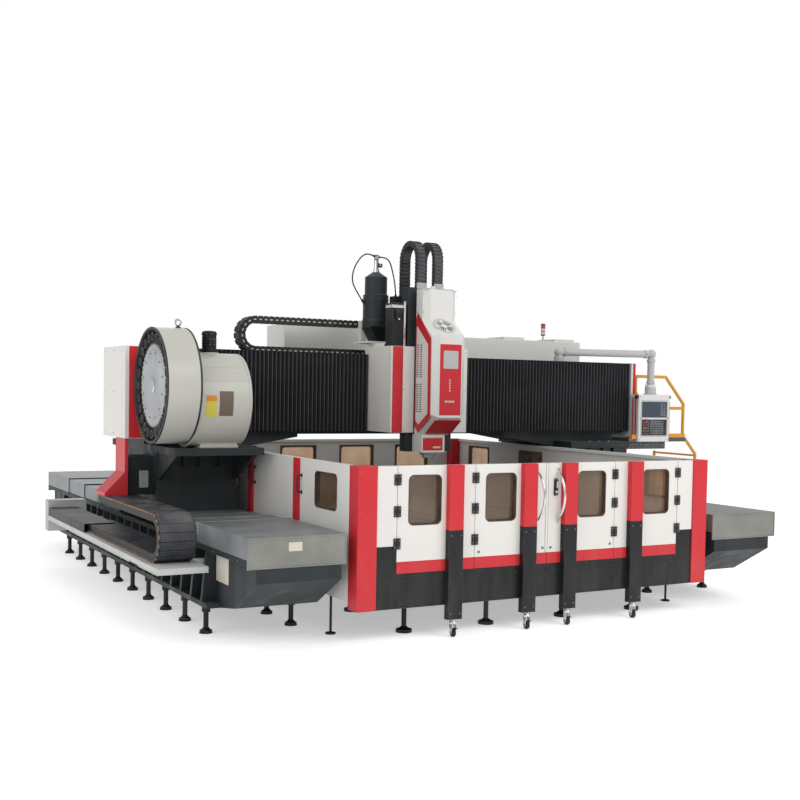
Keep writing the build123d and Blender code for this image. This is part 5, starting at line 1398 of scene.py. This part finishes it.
def head_details():
    """Red front and left frame, louvres, fan guard, underside, spindle box front and ram rails."""
    piece = Piece("head_cover_fittings", "ram", "red", red)
    side_x, middle = HEAD_X[0], (HEAD_X[0] + HEAD_X[1]) / 2
    sides = (Matrix(), moved(middle * 2, 0, 0) @ MIRROR)
    face = HEAD_FRONT - 6
    piece.add(block(-178, 70, face + 2, face + 7, 1826, 2534, 1.5))
    piece.add(plate(rounded(-140, 32, 2290, 2470, 12), "XZ", face, face + 3, 1), pendant_grey)
    dots = [(-62, 2070 + i * 27, 9) for i in range(5)]
    dots += [(-106 + i * 22, 1962, 9 if i % 2 else 12) for i in range(5)]
    for x, z, radius in dots:
        piece.add(disc(x, face, z, "Y", radius, 3, 0.5, 16), label_pale)
    piece.add(ring(HEX_OUTER, HEX_INNER, "YZ", side_x - 5, side_x + 1, 1.5))
    louvre_pitch = 23
    for y0, y1 in ((1854, 1894), (1920, 1960)):
        for low, rows in ((2202, 15), (1852, 13)):
            for i in range(rows):
                z = low + i * louvre_pitch
                slat = [(side_x, z + 15), (side_x - 7, z + 8), (side_x - 7, z + 10), (side_x, z + 19)]
                # Painted shade: a black strip between the slats stands for the dark inside of the louvre.
                piece.add(block(side_x - 1, side_x + 1, y0, y1, z, z + 9, 0.3), plastic, sides)
                piece.add(plate(slat, "XZ", y0 - 2, y1 + 2, 0), white_gloss, sides)
    piece.screws([(side_x - 2, y, z) for y in (1840, 1960) for z in (2860, 3040)], "X", 6, 3, sides)
    lean = moved(-78, 1700, 2718.5) @ Matrix.Rotation(math.atan2(155, 200), 4, "X")
    piece.add(ring(circle(0, 0, 116, 48), circle(0, 0, 106, 48), "XY", 0, 5, 1), pendant_grey, (lean,))
    piece.add(disc(0, 0, 0.5, "Z", 107, 2, 0.3, 48), white_gloss, (lean,))
    spokes = [quarter * 90 + 17 + i * 14 for quarter in range(4) for i in range(5)]
    turns = [lean @ Matrix.Rotation(math.radians(angle), 4, "Z") for angle in spokes]
    # Painted shade: a black strip beside each grey bar of the guard, on the white disc behind it.
    piece.add(block(34, 96, -3.5, 3.5, 1.8, 3.4, 0.5), plastic, turns)
    piece.add(block(32, 98, 4.5, 8, 1.5, 6, 0.8), pendant_grey, turns)
    piece.add(disc(0, 0, 1, "Z", 24, 5, 1.5, 24), white_gloss, (lean,))
    underside = [(1633, 1778), (1831, 1635), (1828, 1630), (1630, 1773)]
    piece.add(plate(underside, "YZ", -205, 105, 1))
    box_front = 1830
    piece.add(block(-226, 6, box_front - 4, box_front + 1, 1462, 1588, 1.5))
    piece.add(block(-236, 26, box_front - 3, box_front + 1, 1592, 1614, 1.5), white_gloss)
    piece.add(plate(rounded(-110, -20, 1484, 1502, 4), "XZ", box_front - 6, box_front - 3, 0.5), label_pale)
    piece.screws([(x, box_front - 6, 1575) for x in (-212, -8)], "Y", 5, 4)
    piece.add(block(-142, -108, 1835, 1885, 3088, 3124, 4, 2), white_gloss)
    piece.add(block(-236, 136, 1806, 1980, 3086, 3093, 2), white_gloss)
    chain_brackets(piece, pendant_grey, (2020, 2034), (3092, 3170), 2016, (3106, 3150))
    piece.done()
    rails = Piece("ram_rails", "ram", "steel", guide_steel)
    for x in (-206, 106):
        rails.add(block(x - 14, x + 14, 2196, 2206, 1700, 3030, 3, 2))
    rails.done()


def nose():
    """Spindle nose with its flange, drive keys and taper."""
    piece = Piece("spindle_nose_and_keys", "spindle", "steel", guide_steel)
    x, y, low = SPINDLE
    profile = [(20, 57.5), (35, 4), (38, 0), (58, 0), (63, 5), (63, 30), (66, 32), (86, 32), (90, 36),
               (90, 54), (86, 57.5), (20, 57.5)]
    piece.add(turned(x, y, low, "Z", profile, 56))
    for side in (-1, 1):
        key = sorted((x + side * 37, x + side * 60))
        piece.add(block(*key, y - 12, y + 12, low - 9, low + 3, 2), chrome)
        piece.bolts([(x + side * 50, y, low - 11)], "Z", 4, 3, 0.5)
    piece.bolts([(*spot, low + 28) for spot in circle(x, y, 77, 8, 22.5)], "Z", 6, 6, 1)
    piece.done(["spindle_nose"])


for make in (window_linings, door_trim, hinges, handles_and_lock, casters, post_details, slotted_table,
             cover_bands, bed_details, tray_details, foot_nuts, cable_chains, beam_covers, pocket_disc,
             magazine_details, end_details, cabinet_details, signal_tower, platform_details, arm_details,
             pendant_details, saddle_details, bottle_details, head_details, nose):
    make()


# Studio

def flat_floor():
    """Plain pale floor with a slight glow of its own."""
    shape = bmesh.new()
    bmesh.ops.create_grid(shape, x_segments=1, y_segments=1, size=60)
    mesh = bpy.data.meshes.new("studio_floor")
    shape.to_mesh(mesh)
    shape.free()
    finish = Finish("studio_floor_paint")
    tone = finish.mix(finish.noise(0.6, 3), colour("F6F6F6"), colour("FAFAFA"))
    mesh.materials.append(finish.set(Base_Color=tone, Roughness=0.9, Specular_IOR_Level=0.1,
                                     Emission_Color=(1, 1, 1, 1), Emission_Strength=0.42))
    placed("studio_floor", mesh)


def lamp(name, place, aim, size, power):
    """Soft rectangular light at a place, turned to an aim."""
    data = bpy.data.lights.new(name, "AREA")
    data.shape = "RECTANGLE"
    data.size, data.size_y = size
    data.energy = power
    way = Vector(aim) - Vector(place)
    turn = way.to_track_quat("-Z", "Y").to_matrix().to_4x4()
    placed(name, data).matrix_world = Matrix.Translation(place) @ turn


def white_world():
    """Plain white to the camera and an even light on everything else."""
    world = bpy.data.worlds.new("studio")
    bpy.context.scene.world = world
    world.use_nodes = True
    tree = world.node_tree
    lit = tree.nodes["Background"]
    lit.inputs["Strength"].default_value = 0.62
    seen = tree.nodes.new("ShaderNodeBackground")
    lit.inputs["Color"].default_value = seen.inputs["Color"].default_value = (1, 1, 1, 1)
    choose = tree.nodes.new("ShaderNodeMixShader")
    tree.links.new(tree.nodes.new("ShaderNodeLightPath").outputs["Is Camera Ray"], choose.inputs[0])
    tree.links.new(lit.outputs[0], choose.inputs[1])
    tree.links.new(seen.outputs[0], choose.inputs[2])
    tree.links.new(choose.outputs[0], tree.nodes["World Output"].inputs["Surface"])


flat_floor()
lamp("key_light", (3, -12, 9), (0, -1, 1), (9, 6), 560)
lamp("fill_light", (-13, -6, 6), (-1, 0, 1), (7, 6), 300)
lamp("top_light", (0, 1, 11), (0, 0, 0), (12, 12), 220)
lamp("back_light", (2, 13, 7), (0, 1, 1.5), (10, 6), 160)
white_world()
bpy.context.scene.view_settings.view_transform = "Standard"
